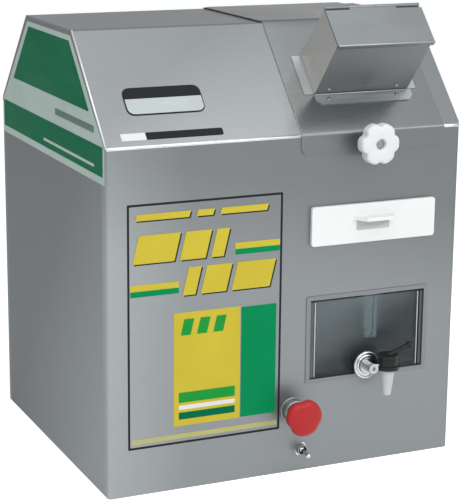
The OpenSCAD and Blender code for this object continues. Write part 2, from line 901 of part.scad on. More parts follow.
module roll_bushes() {
    color("DarkGoldenrod") for (at = [[mill_y, mill_z], [front_roll_y, lower_z], [rear_roll_y, lower_z]],
        side = [[cheek_in_l - cheek_t, -bush_flange_t], [cheek_in_r, cheek_t]]) difference() {
        union() {
            rod_x(side.x, side.x + cheek_t, bush_r, at);
            rod_x(side.x + side.y, side.x + side.y + bush_flange_t, bush_r + bush_flange, at);
        }
        rod_x(side.x - bush_flange_t - over, side.x + cheek_t + bush_flange_t + over, shaft_r + run_gap, at);
    }
}

module roll_gear(at, phase) {
    difference() {
        translate([0, at.x, at.y]) along_x(gear_x0, gear_x1) polygon(roll_gear_line(phase));
        rod_x(gear_x0 - over, gear_x1 + over, shaft_r, at);
    }
}

// A lower gear's tooth angle that meshes with a top gear whose tooth is at 90 degrees
function mesh_phase(y) = let (a = atan2(lower_z - mill_z, y - mill_y)) 2 * a + 180 - 90 + 180 / gear_teeth;

module top_gear() {
    color("SlateGray") roll_gear([mill_y, mill_z], 90);
}

module front_gear() {
    color("SlateGray") roll_gear([front_roll_y, lower_z], mesh_phase(front_roll_y));
}

module rear_gear() {
    color("SlateGray") roll_gear([rear_roll_y, lower_z], mesh_phase(rear_roll_y));
}

// Bar that turns the cane from the front nip to the rear nip
module turn_plate() {
    color("Silver") difference() {
        block([cheek_in_l, mill_y - roll_spread / 2, mill_z - roll_r - turn_gap - turn_len],
            [cheek_in_r, mill_y + roll_spread / 2, mill_z]);
        rod_x(cheek_in_l - over, cheek_in_r + over, roll_r + turn_gap, [mill_y, mill_z]);
        for (y = [front_roll_y, rear_roll_y])
            rod_x(cheek_in_l - over, cheek_in_r + over, roll_r + turn_gap, [y, lower_z]);
    }
}

// Sheet from the rear roll down to the outlet, with two side walls
module bagasse_slide() {
    run = unit(slide_end - slide_start);
    down = [run.y, -run.x];
    line = [slide_start, slide_end, slide_end + slide_t * down, slide_start + slide_t * down];
    wall = [slide_start + slide_side * run, slide_end, slide_end - slide_side * down / 2,
        slide_start + slide_side * run - slide_side * down / 2];
    x0 = mill_x - outlet_w / 2 + slide_t;
    x1 = mill_x + outlet_w / 2 - slide_t;
    color("Silver") union() {
        along_x(x0, x1) polygon(line);
        along_x(x0, x0 + slide_t) polygon(wall);
        along_x(x1 - slide_t, x1) polygon(wall);
        for (x = [[cheek_in_l, x0 + slide_t], [x1 - slide_t, cheek_in_r]])
            rod_x(x[0], x[1], slide_pin_r, slide_start + slide_side * run + slide_pin_drop * down);
    }
}

// Juice drawer
drawer_y = front_y - slide_gap;
module strainer_drawer() {
    x0 = drawer_x - drawer_w / 2;
    front_x = drawer_x - drawer_front_w / 2;
    pull_z = drawer_front_z + drawer_front_h * pull_rise_share;
    hole = drawer_wall + strainer_ledge;
    color("White") difference() {
        union() {
            on_front(front_x, drawer_front_z, slide_gap) linear_extrude(drawer_front_t)
                round_rect([drawer_front_w, drawer_front_h], front_corner_r);
            translate([drawer_x, drawer_y - drawer_front_t, pull_z]) linear_extrude(pull_t)
                polygon([[-pull_w / 2, 0], [-pull_tip_w / 2, -pull_reach],
                    [pull_tip_w / 2, -pull_reach], [pull_w / 2, 0]]);
            block([x0, drawer_y, drawer_z], [x0 + drawer_w, drawer_y + drawer_d, drawer_z + drawer_h]);
        }
        block([x0 + drawer_wall, drawer_y + drawer_wall, drawer_z + drawer_wall],
            [x0 + drawer_w - drawer_wall, drawer_y + drawer_d - drawer_wall, drawer_z + drawer_h + over]);
        block([x0 + hole, drawer_y + hole, drawer_z - over],
            [x0 + drawer_w - hole, drawer_y + drawer_d - hole, drawer_z + drawer_h]);
    }
}

module strainer_plate() {
    size = [drawer_w - 2 * drawer_wall, drawer_d - 2 * drawer_wall];
    area = [size.x - 2 * strainer_ledge - strainer_pitch, size.y - 2 * strainer_ledge - strainer_pitch];
    rows = [floor(area.x / strainer_pitch), floor(area.y / strainer_pitch)];
    color("Silver") translate([drawer_x, drawer_y + drawer_d / 2, drawer_z + drawer_wall])
        linear_extrude(strainer_t)
        difference() {
            square(size, center = true);
            for (i = [0 : rows.x], j = [0 : rows.y])
                translate([(i - rows.x / 2) * strainer_pitch, (j - rows.y / 2) * strainer_pitch])
                    circle(strainer_hole_r);
        }
}

// Two angles on the cheeks under the drawer's edges
module drawer_rails() {
    y0 = front_y + sheet + rail_front_gap;
    y1 = drawer_y + drawer_d;
    top = drawer_z - slide_gap;
    color("Silver") for (side = [-1, 1]) {
        cheek_x = side < 0 ? cheek_in_l : cheek_in_r;
        edge_x = drawer_x + side * (drawer_w / 2 - rail_lap);
        block([min(cheek_x, edge_x), y0, top - rail_t], [max(cheek_x, edge_x), y1, top]);
        block([min(cheek_x, cheek_x - side * rail_t), y0, top],
            [max(cheek_x, cheek_x - side * rail_t), y1, top + rail_h]);
    }
}

// Tray under the drawer, falling to the drop tube at its front
sump_top = drawer_z - slide_gap - rail_t;
sump_y = front_y + sheet + rail_front_gap;
sump_floor = sump_top - sump_h;
module juice_sump() {
    outer = [[sump_y, sump_floor], [sump_back, sump_floor + sump_fall],
        [sump_back, sump_top], [sump_y, sump_top]];
    lift = sump_wall / cos(atan2(sump_fall, sump_back - sump_y));
    inner = [[sump_y + sump_wall, sump_floor + lift], [sump_back - sump_wall, sump_floor + sump_fall + lift],
        [sump_back - sump_wall, sump_top + over], [sump_y + sump_wall, sump_top + over]];
    color("Silver") difference() {
        along_x(cheek_in_l, cheek_in_r) polygon(outer);
        along_x(cheek_in_l + sump_wall, cheek_in_r - sump_wall) polygon(inner);
        translate([tube_x, tube_y, sump_floor - over]) cylinder(r = tube_r, h = sump_h);
    }
}

module drop_tube() {
    low = tank_z + tank_h - tube_drop;
    color("Gainsboro") translate([tube_x, tube_y, low]) difference() {
        cylinder(r = tube_r, h = sump_floor + sump_wall - low);
        translate([0, 0, -over])
            cylinder(r = tube_r - tube_wall, h = sump_floor - low + sump_wall + 2 * over);
    }
}

// Juice tank
tank_y = front_y + tank_recess;
module juice_tank() {
    x0 = tank_x - tank_w / 2;
    color("DimGray", 0.6) difference() {
        block([x0, tank_y, tank_z], [x0 + tank_w, tank_y + tank_d, tank_z + tank_h]);
        block([x0 + tank_wall, tank_y + tank_wall, tank_z + tank_floor],
            [x0 + tank_w - tank_wall, tank_y + tank_d - tank_wall, tank_z + tank_h + over]);
        on_front(tap_x, tap_z, -tank_recess - tank_wall - over)
            cylinder(r = shank_r, h = tank_wall + 2 * over);
    }
}

module tank_shelf() {
    color("Silver") block([cheek_in_l, front_y + sheet + frame_depth, tank_z - slide_gap - shelf_t],
        [cheek_in_r, tank_y + tank_d + shelf_back, tank_z - slide_gap]);
}

// Tap
module tap_seal() {
    color("Black") on_front(tap_x, tap_z, -tank_recess) difference() {
        cylinder(r = seal_r, h = tank_recess + seal_out);
        translate([0, 0, -over]) cylinder(r = shank_r, h = tank_recess + seal_out + 2 * over);
    }
}

module tap_shank() {
    tail = tank_recess + tank_wall + tap_nut_t + shank_tail;
    color("Gainsboro") difference() {
        union() {
            on_front(tap_x, tap_z, -tail) cylinder(r = shank_r, h = tail + seal_out);
            on_front(tap_x, tap_z, seal_out) rotate_extrude() polygon([[0, 0], [neck_r, 0],
                [neck_r, neck_len], [tap_flange_r, neck_len], [tap_flange_r, cup_len], [ring_r, cup_len],
                [ring_r, cup_len + ring_len], [stub_r, cup_len + ring_len],
                [stub_r, cup_len + ring_len + stub_len],
                [0, cup_len + ring_len + stub_len]]);
            translate([tap_x, front_y - port_out, tap_z + port_rise]) rotate([0, 90, 0])
                cylinder(r = port_r - port_rise / 2, h = barrel_x - barrel_r - tap_x);
        }
        on_front(tap_x, tap_z, stub_out - stub_hole_d) cylinder(r = stub_hole_r, h = stub_hole_d + over);
    }
}

module tap_nut() {
    color("Gainsboro") on_front(tap_x, tap_z, -tank_recess - tank_wall - tap_nut_t) difference() {
        cylinder(r = tap_nut_r, h = tap_nut_t, $fn = 6);
        translate([0, 0, -over]) cylinder(r = shank_r, h = tap_nut_t + 2 * over);
    }
}

module at_barrel(z) {
    translate([barrel_x, front_y - port_out, z]) children();
}

module tap_barrel() {
    color("Black") difference() {
        at_barrel(barrel_z) union() {
            cylinder(r = barrel_r + collar_step, h = collar_h);
            cylinder(r = barrel_r, h = barrel_h);
        }
        at_barrel(barrel_z + collar_h) cylinder(r = lever_pin_r + run_gap, h = barrel_h);
        translate([tap_x, front_y - port_out, tap_z + port_rise]) rotate([0, 90, 0])
            cylinder(r = port_r - port_rise / 2, h = barrel_x - barrel_r - tap_x);
    }
}

module tap_spout() {
    color("White") at_barrel(barrel_z - spout_len) difference() {
        cylinder(r1 = spout_tip_r, r2 = spout_top_r, h = spout_len);
        translate([0, 0, -over]) cylinder(r = spout_bore_r, h = spout_len + over);
    }
}

// Lever on its pin, pointing right and up
module tap_lever() {
    color("Black") at_barrel(barrel_z + barrel_h + slide_gap) union() {
        cylinder(r = barrel_r, h = lever_hub_h);
        translate([0, 0, -lever_pin_r * 2]) cylinder(r = lever_pin_r, h = lever_pin_r * 2 + lever_hub_h);
        translate([0, 0, lever_hub_h / 2]) rotate([0, 90 - lever_tilt, 0]) {
            cylinder(r = lever_r, h = lever_len);
            translate([0, 0, lever_len]) sphere(lever_knob_r);
        }
    }
}

// Emergency stop
module estop_collar() {
    color("Gray") on_front(estop_x, estop_z) difference() {
        union() {
            cylinder(r = estop_collar_r, h = estop_collar_t);
            translate([0, 0, -sheet - estop_barrel]) cylinder(r = estop_hole_r, h = sheet + estop_barrel);
        }
        translate([0, 0, -sheet - estop_barrel - over])
            cylinder(r = estop_rod_r + run_gap, h = sheet + estop_barrel + estop_collar_t + 2 * over);
    }
}

module estop_block() {
    y0 = front_y + sheet + estop_barrel;
    size = estop_block_size;
    color("DarkSlateGray") difference() {
        block([estop_x - size.x / 2, y0, estop_z - size.y / 2],
            [estop_x + size.x / 2, y0 + size.z, estop_z + size.y / 2]);
        on_front(estop_x, estop_z, -sheet - estop_barrel - estop_travel * 2)
            cylinder(r = estop_rod_r + slide_gap, h = estop_travel * 2 + over);
    }
}

// Rod from the block to the neck, with a smaller tip for the head
module estop_plunger() {
    back = sheet + estop_barrel;
    front = estop_collar_t + estop_neck;
    color("DimGray") on_front(estop_x, estop_z, -back) union() {
        cylinder(r = estop_rod_r, h = back + front);
        cylinder(r = estop_tip_r, h = back + front + estop_tip);
    }
}

estop_crown_share = 0.35;
module estop_head() {
    out = estop_collar_t + estop_neck + slide_gap;
    crown = estop_head_t * estop_crown_share;
    ball_r = (estop_r * estop_r + crown * crown) / (2 * crown);
    color("Red") on_front(estop_x, estop_z, out) difference() {
        intersection() {
            union() {
                cylinder(r1 = estop_rod_r + estop_notch_r, r2 = estop_r, h = crown);
                translate([0, 0, crown]) cylinder(r = estop_r, h = estop_head_t - crown);
            }
            translate([0, 0, estop_head_t - ball_r]) sphere(ball_r, $fn = 128);
        }
        translate([0, 0, -over]) cylinder(r = estop_tip_r + run_gap, h = over + estop_tip + slide_gap);
        for (i = [0 : estop_notches - 1]) rotate(90 + i * 360 / estop_notches)
            translate([estop_r + estop_notch_r / 2, 0, -over])
                cylinder(r = estop_notch_r, h = estop_head_t + 2 * over);
    }
}

// Toggle switch
module toggle_body() {
    size = toggle_body_size;
    color("DarkSlateGray") difference() {
        union() {
            on_front(toggle_x, toggle_z, -sheet) cylinder(r = toggle_r, h = sheet + toggle_out);
            block([toggle_x - size.x / 2, front_y + sheet, toggle_z - size.z / 2],
                [toggle_x + size.x / 2, front_y + sheet + size.y, toggle_z + size.z / 2]);
        }
        on_front(toggle_x, toggle_z, toggle_out - toggle_ball_r) sphere(toggle_ball_r + slide_gap);
        on_front(toggle_x, toggle_z, toggle_out - toggle_ball_r)
            cylinder(r = toggle_ball_r + slide_gap, h = toggle_out);
    }
}

module toggle_nut() {
    color("Silver") on_front(toggle_x, toggle_z) difference() {
        cylinder(r = toggle_nut_r, h = toggle_nut_t, $fn = 6);
        translate([0, 0, -over]) cylinder(r = toggle_r, h = toggle_nut_t + 2 * over);
    }
}

module toggle_lever() {
    color("Gainsboro") on_front(toggle_x, toggle_z, toggle_out - toggle_ball_r) union() {
        sphere(toggle_ball_r);
        rotate([toggle_droop, 0, 0]) cylinder(r1 = toggle_root_r, r2 = toggle_tip_r, h = toggle_len);
        rotate([toggle_droop, 0, 0]) translate([0, 0, toggle_len]) sphere(toggle_tip_r);
    }
}

// Worm reducer
reducer_x0 = reducer_x - reducer_w / 2;
reducer_x1 = reducer_x + reducer_w / 2;
room_r = wheel_r + wheel_tip + reducer_room;
room_w = wheel_w + 2 * reducer_room;

module at_worm(z) {
    translate([reducer_x, worm_y, z]) children();
}

module reducer_housing() {
    color("SteelBlue") difference() {
        union() {
            rod_x(reducer_x0, reducer_x1 - reducer_wall, reducer_r, [mill_y, mill_z]);
            at_worm(motor_top) cylinder(r = worm_tube_r, h = worm_tube_down + worm_tube_up);
        }
        rod_x(reducer_x - room_w / 2, reducer_x1, room_r, [mill_y, mill_z]);
        rod_x(reducer_x0 - over, reducer_x1, reducer_hub_r + run_gap, [mill_y, mill_z]);
        at_worm(motor_top - over) cylinder(r = motor_shaft_r + slide_gap, h = worm_tube_down + over);
        at_worm(mill_z - worm_tube_r) cylinder(r = worm_bore_r, h = 2 * worm_tube_r);
        at_worm(mill_z) cylinder(r = bearing_r, h = worm_tube_r + bearing_t);
    }
}

module reducer_cover() {
    plug = reducer_x1 - reducer_wall - reducer_x - room_w / 2;
    color("SteelBlue") difference() {
        union() {
            rod_x(reducer_x1 - reducer_wall, reducer_x1, reducer_r, [mill_y, mill_z]);
            intersection() {
                rod_x(reducer_x1 - reducer_wall - plug, reducer_x1 - reducer_wall, room_r, [mill_y, mill_z]);
                block([reducer_x, mill_y - reducer_r, mill_z - reducer_r],
                    [reducer_x1, worm_y - worm_tube_r - slide_gap, mill_z + reducer_r]);
            }
        }
        rod_x(reducer_x0, reducer_x1 + over, reducer_hub_r + run_gap, [mill_y, mill_z]);
    }
}

module worm_wheel() {
    color("DarkGoldenrod") difference() {
        union() {
            translate([0, mill_y, mill_z])
                along_x(reducer_x - wheel_w / 2, reducer_x + wheel_w / 2) polygon(wheel_line());
            rod_x(reducer_x0, reducer_x1, reducer_hub_r, [mill_y, mill_z]);
        }
        rod_x(reducer_x0 - over, reducer_x1 + over, shaft_r, [mill_y, mill_z]);
    }
}

// Motor shaft with the worm cut on its upper end
worm_len = worm_turns * worm_lead;
worm_phase = -90;
module worm_shaft() {
    low = fan_top - fan_t;
    color("Silver") union() {
        at_worm(low) cylinder(r = motor_shaft_r, h = mill_z + worm_tube_r + bearing_t - low);
        at_worm(mill_z - worm_len / 2) rotate(worm_phase)
            linear_extrude(worm_len, twist = -360 * worm_turns, slices = worm_slices, $fn = worm_sides)
                union() {
                circle(worm_r - worm_depth);
                translate([worm_r + worm_depth - worm_bump_r, 0]) circle(worm_bump_r);
            }
    }
}

module shaft_bearings() {
    color("Silver") for (z = [mill_z + worm_tube_r, frame_top, frame_bottom - bearing_t])
        at_worm(z) difference() {
            cylinder(r = bearing_r, h = bearing_t);
            translate([0, 0, -over]) cylinder(r = motor_shaft_r + run_gap, h = bearing_t + 2 * over);
        }
}

// Motor
module end_shield(z, bearing_z) {
    at_worm(z) difference() {
        cylinder(r = motor_r, h = shield_t);
        translate([0, 0, -over]) cylinder(r = motor_shaft_r + slide_gap, h = shield_t + 2 * over);
        translate([0, 0, bearing_z]) cylinder(r = bearing_r, h = bearing_t + over);
    }
}

// Finned tube with its end shields, foot rails and terminal box
module motor_frame() {
    foot_y = motor_r - motor_wall / 2;
    foot_end = fin_h / 2;
    color("SlateGray") union() {
        at_worm(frame_bottom) difference() {
            union() {
                cylinder(r = motor_r, h = motor_len);
                for (i = [0 : fin_count - 1])
                    rotate(i * 360 / fin_count)
                        translate([foot_y, -fin_t / 2, fin_h])
                            cube([fin_h + motor_wall / 2, fin_t, motor_len - 2 * fin_h]);
                for (side = [-1, 1])
                    translate([side * foot_w - foot_w / 4, 0, foot_end])
                        cube([foot_w / 2, motor_r + fin_h + foot_rise, motor_len - 2 * foot_end]);
            }
            translate([0, 0, -over]) cylinder(r = motor_r - motor_wall, h = motor_len + 2 * over);
        }
        end_shield(frame_top, -over);
        end_shield(shield_bottom, shield_t - bearing_t);
        at_worm(frame_bottom + motor_len / 2)
            translate([-terminal_size.x / 2, -foot_y - terminal_size.y, 0])
                cube(terminal_size);
    }
}

module stator() {
    color("Peru") at_worm(frame_bottom + stator_margin) difference() {
        cylinder(r = motor_r - motor_wall, h = motor_len - 2 * stator_margin);
        translate([0, 0, -over]) cylinder(r = stator_in, h = motor_len - 2 * stator_margin + 2 * over);
    }
}

module rotor_core() {
    color("Gray") at_worm(frame_bottom + rotor_margin) difference() {
        cylinder(r = stator_in - air_gap, h = motor_len - 2 * rotor_margin);
        translate([0, 0, -over]) cylinder(r = motor_shaft_r, h = motor_len - 2 * rotor_margin + 2 * over);
    }
}

module motor_fan() {
    hub = motor_shaft_r + 2 * fan_disc_t;
    root = motor_shaft_r + fan_disc_t;
    color("DimGray") at_worm(fan_top - fan_t) difference() {
        union() {
            cylinder(r = fan_r, h = fan_disc_t);
            cylinder(r = hub, h = fan_t);
            for (i = [0 : fan_blades - 1])
                rotate(i * 360 / fan_blades)
                    translate([root, -fan_blade_t / 2, 0])
                        cube([fan_r - root - fan_disc_t, fan_blade_t, fan_t]);
        }
        translate([0, 0, -over]) cylinder(r = motor_shaft_r, h = fan_t + 2 * over);
    }
}

grille_rings = 8;
grille_hole_r = 6;
module fan_cowl() {
    color("DimGray") at_worm(cowl_bottom) difference() {
        cylinder(r = motor_r + cowl_t, h = cowl_room + shield_t);
        translate([0, 0, cowl_t]) cylinder(r = motor_r, h = cowl_room + shield_t);
        for (i = [0 : grille_rings - 1], r = [motor_r / 3, motor_r * 2 / 3]) rotate(i * 360 / grille_rings)
            translate([r, 0, -over]) cylinder(r = grille_hole_r, h = cowl_t + 2 * over);
    }
}

// Angle that carries the motor's foot rails on the base plate
module motor_bracket() {
    x0 = reducer_x - bracket_w / 2;
    x1 = reducer_x + bracket_w / 2;
    color("Gray") union() {
        block([x0, bracket_y, base_t], [x1, bracket_y + bracket_t, frame_top]);
        block([x0, bracket_y, base_t], [x1, bracket_y + bracket_foot, base_t + bracket_t]);
        for (x = [x0, x1 - bracket_t]) along_x(x, x + bracket_t)
            polygon([[bracket_y, base_t], [bracket_y + bracket_foot, base_t],
                [bracket_y + bracket_t, frame_top / 2],
                [bracket_y, frame_top / 2]]);
    }
}

base_plate();
front_panel();
left_side_panel();
right_side_panel();
rear_panel();
hood();
casing_screws();
cable_gland();
window_frame();
roll_cover();
feed_chute();
chute_strip();
chute_rivets();
chute_lid();
lid_hinge_pin();
clamp_knob();
clamp_stud();
left_cheek();
right_cheek();
tie_rods();
top_roll();
front_roll();
rear_roll();
roll_bushes();
top_gear();
front_gear();
rear_gear();
turn_plate();
bagasse_slide();
strainer_drawer();
strainer_plate();
drawer_rails();
juice_sump();
drop_tube();
juice_tank();
tank_shelf();
tap_seal();
tap_shank();
tap_nut();
tap_barrel();
tap_spout();
tap_lever();
estop_collar();
estop_block();
estop_plunger();
estop_head();
toggle_body();
toggle_nut();
toggle_lever();
reducer_housing();
reducer_cover();
worm_wheel();
worm_shaft();
shaft_bearings();
motor_frame();
stator();
rotor_core();
motor_fan();
fan_cowl();
motor_bracket();
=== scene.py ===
import json
import math
from collections import namedtuple

import bmesh
import bpy
from mathutils import Matrix, Vector


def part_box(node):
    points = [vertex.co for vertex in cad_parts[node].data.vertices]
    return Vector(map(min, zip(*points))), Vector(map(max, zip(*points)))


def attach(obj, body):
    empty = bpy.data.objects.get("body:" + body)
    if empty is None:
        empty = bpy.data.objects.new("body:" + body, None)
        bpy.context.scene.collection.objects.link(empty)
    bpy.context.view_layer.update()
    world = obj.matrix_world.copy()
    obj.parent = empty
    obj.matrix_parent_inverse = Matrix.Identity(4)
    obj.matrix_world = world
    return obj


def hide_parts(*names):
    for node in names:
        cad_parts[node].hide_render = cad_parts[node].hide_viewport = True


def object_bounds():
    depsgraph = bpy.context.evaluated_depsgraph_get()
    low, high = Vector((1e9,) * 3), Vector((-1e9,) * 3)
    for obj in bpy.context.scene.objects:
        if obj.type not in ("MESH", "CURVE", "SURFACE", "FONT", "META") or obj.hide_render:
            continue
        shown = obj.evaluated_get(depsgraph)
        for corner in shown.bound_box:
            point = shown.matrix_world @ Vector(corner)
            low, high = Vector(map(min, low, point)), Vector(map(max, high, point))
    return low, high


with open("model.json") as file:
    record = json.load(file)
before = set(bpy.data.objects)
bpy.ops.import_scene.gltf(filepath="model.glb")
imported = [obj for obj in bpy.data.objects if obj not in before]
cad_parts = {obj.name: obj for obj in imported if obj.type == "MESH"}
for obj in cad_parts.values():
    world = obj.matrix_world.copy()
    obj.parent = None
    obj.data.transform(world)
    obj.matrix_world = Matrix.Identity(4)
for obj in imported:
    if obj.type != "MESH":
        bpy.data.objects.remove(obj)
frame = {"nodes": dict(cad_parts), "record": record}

CAD_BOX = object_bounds()
NODES = frame["nodes"]

# A number of millimetres times this is a length in metres
MM = 0.001

# Directions of the frame
RIGHT = Vector((1, 0, 0))
BACK = Vector((0, 1, 0))
UP = Vector((0, 0, 1))

# Casing lines: three from the frame, then the fold's height, half the flat top's depth and the slope
FRONT_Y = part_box("front_panel")[0][1]
LEFT_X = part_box("left_side_panel")[0][0]
HOOD_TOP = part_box("hood")[1][2]
FOLD_H = 363 * MM
RIDGE_HALF = 75 * MM
SLOPE = math.atan2(HOOD_TOP - FOLD_H, -FRONT_Y - RIDGE_HALF)

# Camera, fitted to the corners of the casing
IMAGE_H = 500
CAMERA_AT = Vector((-747.3, -1681.9, 664.8)) * MM
CAMERA_YAW = math.radians(24.27)
CAMERA_PITCH = math.radians(14.05)
CAMERA_ROLL = math.radians(0.54)
CAMERA_FOCAL_PX = 1680.2
SENSOR = 36.0
CLIP_END = 50.0

# Room: background, light all round, and the floor with the glow that lifts it to the background
BACKGROUND = (1.0, 1.0, 1.0, 1.0)
AMBIENT = (0.38, 0.384, 0.388, 1.0)
FLOOR_HALF = 6.0
FLOOR_COLOUR = (0.93, 0.93, 0.93, 1.0)
FLOOR_ROUGH = 0.9
FLOOR_LIFT = (0.62, 0.62, 0.62, 1.0)

# Soft boxes in metres: name, place, aim, width and height, and power in watts
MIDDLE = (0, 0, 0.25)
LAMPS = (
    ("key", (0.3, -0.9, 2.5), MIDDLE, (1.5, 1.5), 12),
    ("front", (1.1, -2.2, 1.6), MIDDLE, (1.8, 0.3), 18),
    ("left", (-1.4, -2.4, 1.0), MIDDLE, (1.4, 1.0), 2),
    ("pool", (-0.45, -1.5, 1.0), (-0.15, -0.9, 0), (0.8, 0.5), 6),
    ("chute", (-0.75, -0.76, 2.17), (0.04, -0.15, 0.44), (0.7, 0.7), 6),
    ("rim", (-1.9, 0.1, 1.7), MIDDLE, (0.7, 0.7), 2),
)

# Noises of the finishes: features a metre, detail and roughness
NOISES = {
    "brush": (7.0, 3.0, 0.55),
    "marks": (9.0, 4.0, 0.55),
    "wave": (4.0, 1.0, 0.55),
    "cut": (2.0, 2.0, 0.55),
    "oil": (35.0, 4.0, 0.55),
    "cloud": (26.0, 3.0, 0.55),
    "peel": (900.0, 2.0, 0.55),
    "rub": (70.0, 6.0, 0.7),
    "sand": (420.0, 4.0, 0.55),
    "dust": (22.0, 5.0, 0.55),
    "tank_wipe": (9.0, 5.0, 0.55),
    "ink": (1400.0, 2.0, 0.55),
    "ageing": (14.0, 4.0, 0.55),
    "film_wipe": (12.0, 5.0, 0.55),
}

# Bumps of the finishes: height and strength
BRUSH_BUMP = (0.004 * MM, 0.3)
CUT_BUMP = (0.03 * MM, 0.5)
PEEL_BUMP = (0.012 * MM, 0.6)
SAND_BUMP = (0.12 * MM, 0.5)
INK_BUMP = (0.01 * MM, 0.4)

# Brushed sheet: stretch of the lines, shares of the colour, what marks add to the roughness, and the shader
BRUSH_ALONG = 5.0
BRUSH_ACROSS = 420.0
BRUSH_TONES = (0.988, 1.012)
LINE_TONE = 0.976
LINE_SHARE = 0.5
MARK_GLOSS = (-0.02, 0.03)
WAVE_STRENGTH = 0.25
SHEET_METALLIC = 0.86
SHEET_ANISOTROPY = 0.3
SHEET_SHINE = 0.2
EDGE_TINT = (0.45, 0.46, 0.47, 1.0)

# Painted light and shade on brushed sheet, another tone by where a face looks: the normal's range at a side
# and at the front, and the right end's range
SIDE_RANGE = (-0.95, -0.85)
FRONT_RANGE = (-0.5, -0.3)
RIGHT_RANGE = (0.6, 0.8)

# Turned metal: stretch of the rings along and round the axis, and what the oil does to colour and roughness
CUT_ALONG = 900.0
CUT_ROUND = 20.0
OIL_TONES = (0.86, 1.08)
OIL_GLOSS = (-0.05, 0.06)

# Machine paint: share and tone of the dust, and the roughness
DUST_SHARE = 0.35
DUST_TONE = 1.45
PAINT_ROUGH = (0.34, 0.52)

# Tank: stretch of the wipe marks, their tones, the lean and range of a painted reflection that leaves it less
# clear and paler towards the upper left, how clear it goes, and the shader
TANK_STRETCH = (1.0, 1.0, 6.0)
TANK_TONES = (0.93, 1.07)
TANK_ROUGH = (0.02, 0.05)
REFLECTION_LEAN = 0.85
REFLECTION_WIPE = (-0.12, 0.12)
REFLECTION_RANGE = (0.0, 0.7)
TANK_CLEAR = (0.93, 0.7)
TANK_IOR = 1.05
TANK_COAT = 0.4
TANK_COAT_ROUGH = 0.35

# Printed films: stretch of the wipe marks, and the tones of ageing and of the ink's grain
FILM_STRETCH = (1.0, 1.0, 5.0)
AGE_TONES = (0.95, 1.05)
INK_TONE = 0.8
INK_SHARE = 0.12

# Sockets of the mix node that carry colours
MIX_FIRST = 6
MIX_SECOND = 7
MIX_RESULT = 2

# Printed films: thickness, edge, corner, the corner where two films meet, and the steps of a corner
FILM_T = 0.16 * MM
FILM_EDGE = 0.05 * MM
FILM_CORNER = 1.2 * MM
SLANT_CORNER = FILM_CORNER / 2
MEET_CORNER = FILM_T
ARC_STEPS = 6

# Front decal: boxes of x and height, from the lower left to the upper right corner, in millimetres
DECAL_FRAME = (-178.5, 50, -8, 306)
DECAL_FRAME_HOLE = (-176.2, 52.3, -10.3, 303.7)
DECAL_YELLOW_BLOCK = (-128.5, 69, -54.5, 190)
DECAL_GREEN_BLOCK = (-53.5, 69.5, -13.5, 189)
DECAL_FOOT_LINE = (-175, 55.5, -11.5, 60.5)

# Rows of slanted bars: name, lower and upper edge, x of the bars and lean; then how far the dark edge shows
DECAL_ROWS = (
    ("decal_head", (289, 295.5), ((-170, -112), (-104, -86), (-78, -26)), 2),
    ("decal_upper", (245, 274), ((-173, -128), (-122, -94), (-88, -74)), 7),
    ("decal_lower", (208, 237), ((-119, -105), (-99, -71), (-65, -22)), 7),
)
EDGE_SHIFT = 1.4

# Slanted marks on the yellow block: x of each, width, lower and upper edge, and lean
MARK_AT = (-121, -103, -85)
MARK_W = 11
MARK_Z = (166, 183)
MARK_LEAN = 4

# Bars at the foot of the yellow block: x of all, then the lower and upper edge of each
BAR_X = (-123, -60)
BAR_Z = {"green": (94, 105), "white": (86.5, 91), "deep": (76, 83.5)}

# Pairs of stripes: x, lower edge and x, then the height of the green one and of the pair
STRIPES = {"upper": (-61, 245, -10.5), "lower": (-175.5, 211, -123)}
STRIPE_H = 6
STRIPE_PAIR_H = 12.4

# Side label: outlines and boxes of y and height in millimetres
LABEL_FILM = ((-169, 326), (169, 326), (169, 362), (71.5, 462), (-71.5, 462), (-169, 362))
LABEL_FIELD = ((-126, 393), (126, 393), (67, 456.5), (-67, 456.5))
LABEL_BAND = (-164.5, 333.5, 164.5, 363.5)
LABEL_THIN_LINE = (-140, 340, 20, 343)
LABEL_GREY_LINE = (-140, 374, -20, 381)

# Badge and strip: boxes of x and distance up the slope in millimetres, then corners and thickness
BADGE_RIM = (-167, 37, -83, 69.5)
BADGE_LOWER = (-166, 38, -84, 56)
BADGE_UPPER = (-166, 56.2, -84, 68.6)
STRIP_WHITE = (-181, 8, -155, 16.5)
STRIP_BLACK = (-154.6, 8, -72, 16.5)
BADGE_RIM_CORNER = 9 * MM
BADGE_CORNER = 8.2 * MM
STRIP_CORNER = 2.5 * MM
BADGE_T = 0.8 * MM

# Notches in a rim: degrees and weight of each, width in radians, depth, and the radius where they begin
Notches = namedtuple("Notches", "places width depth bite")
LOBE_STEPS = 144

# Mushroom head: share of the radius and of the depth from the back, and its notches
HEAD_PROFILE = ((0.62, 0.0), (0.80, 0.02), (0.93, 0.10), (0.985, 0.20), (1.0, 0.34), (1.0, 0.50),
                (0.975, 0.62), (0.92, 0.73), (0.83, 0.82), (0.70, 0.89), (0.52, 0.95), (0.30, 0.985),
                (0.10, 1.0), (0.02, 1.0))
HEAD_NOTCHES = Notches(((99, 1.0), (213, 0.9), (330, 0.4)), width=0.30, depth=2.6 * MM, bite=0.0)

# Stop collar and bush of the switch: radius and distance out, round the section, in millimetres
COLLAR_PROFILE = ((9, 0), (9, 16), (9.4, 16.4), (10.8, 16.4), (11.2, 16), (11.2, 11.2), (11.4, 10.8),
                  (12, 10.8), (12.4, 10.4), (12.4, 1.6), (12.6, 1.3), (13.1, 1.3), (13.3, 1.1), (13.3, 0))
BUSH_PROFILE = ((5.52, 2.6), (5.8, 2.6), (5.8, 7.9), (5.5, 8.2), (4.5, 8.2), (4.4, 8.05), (5.52, 8.02))

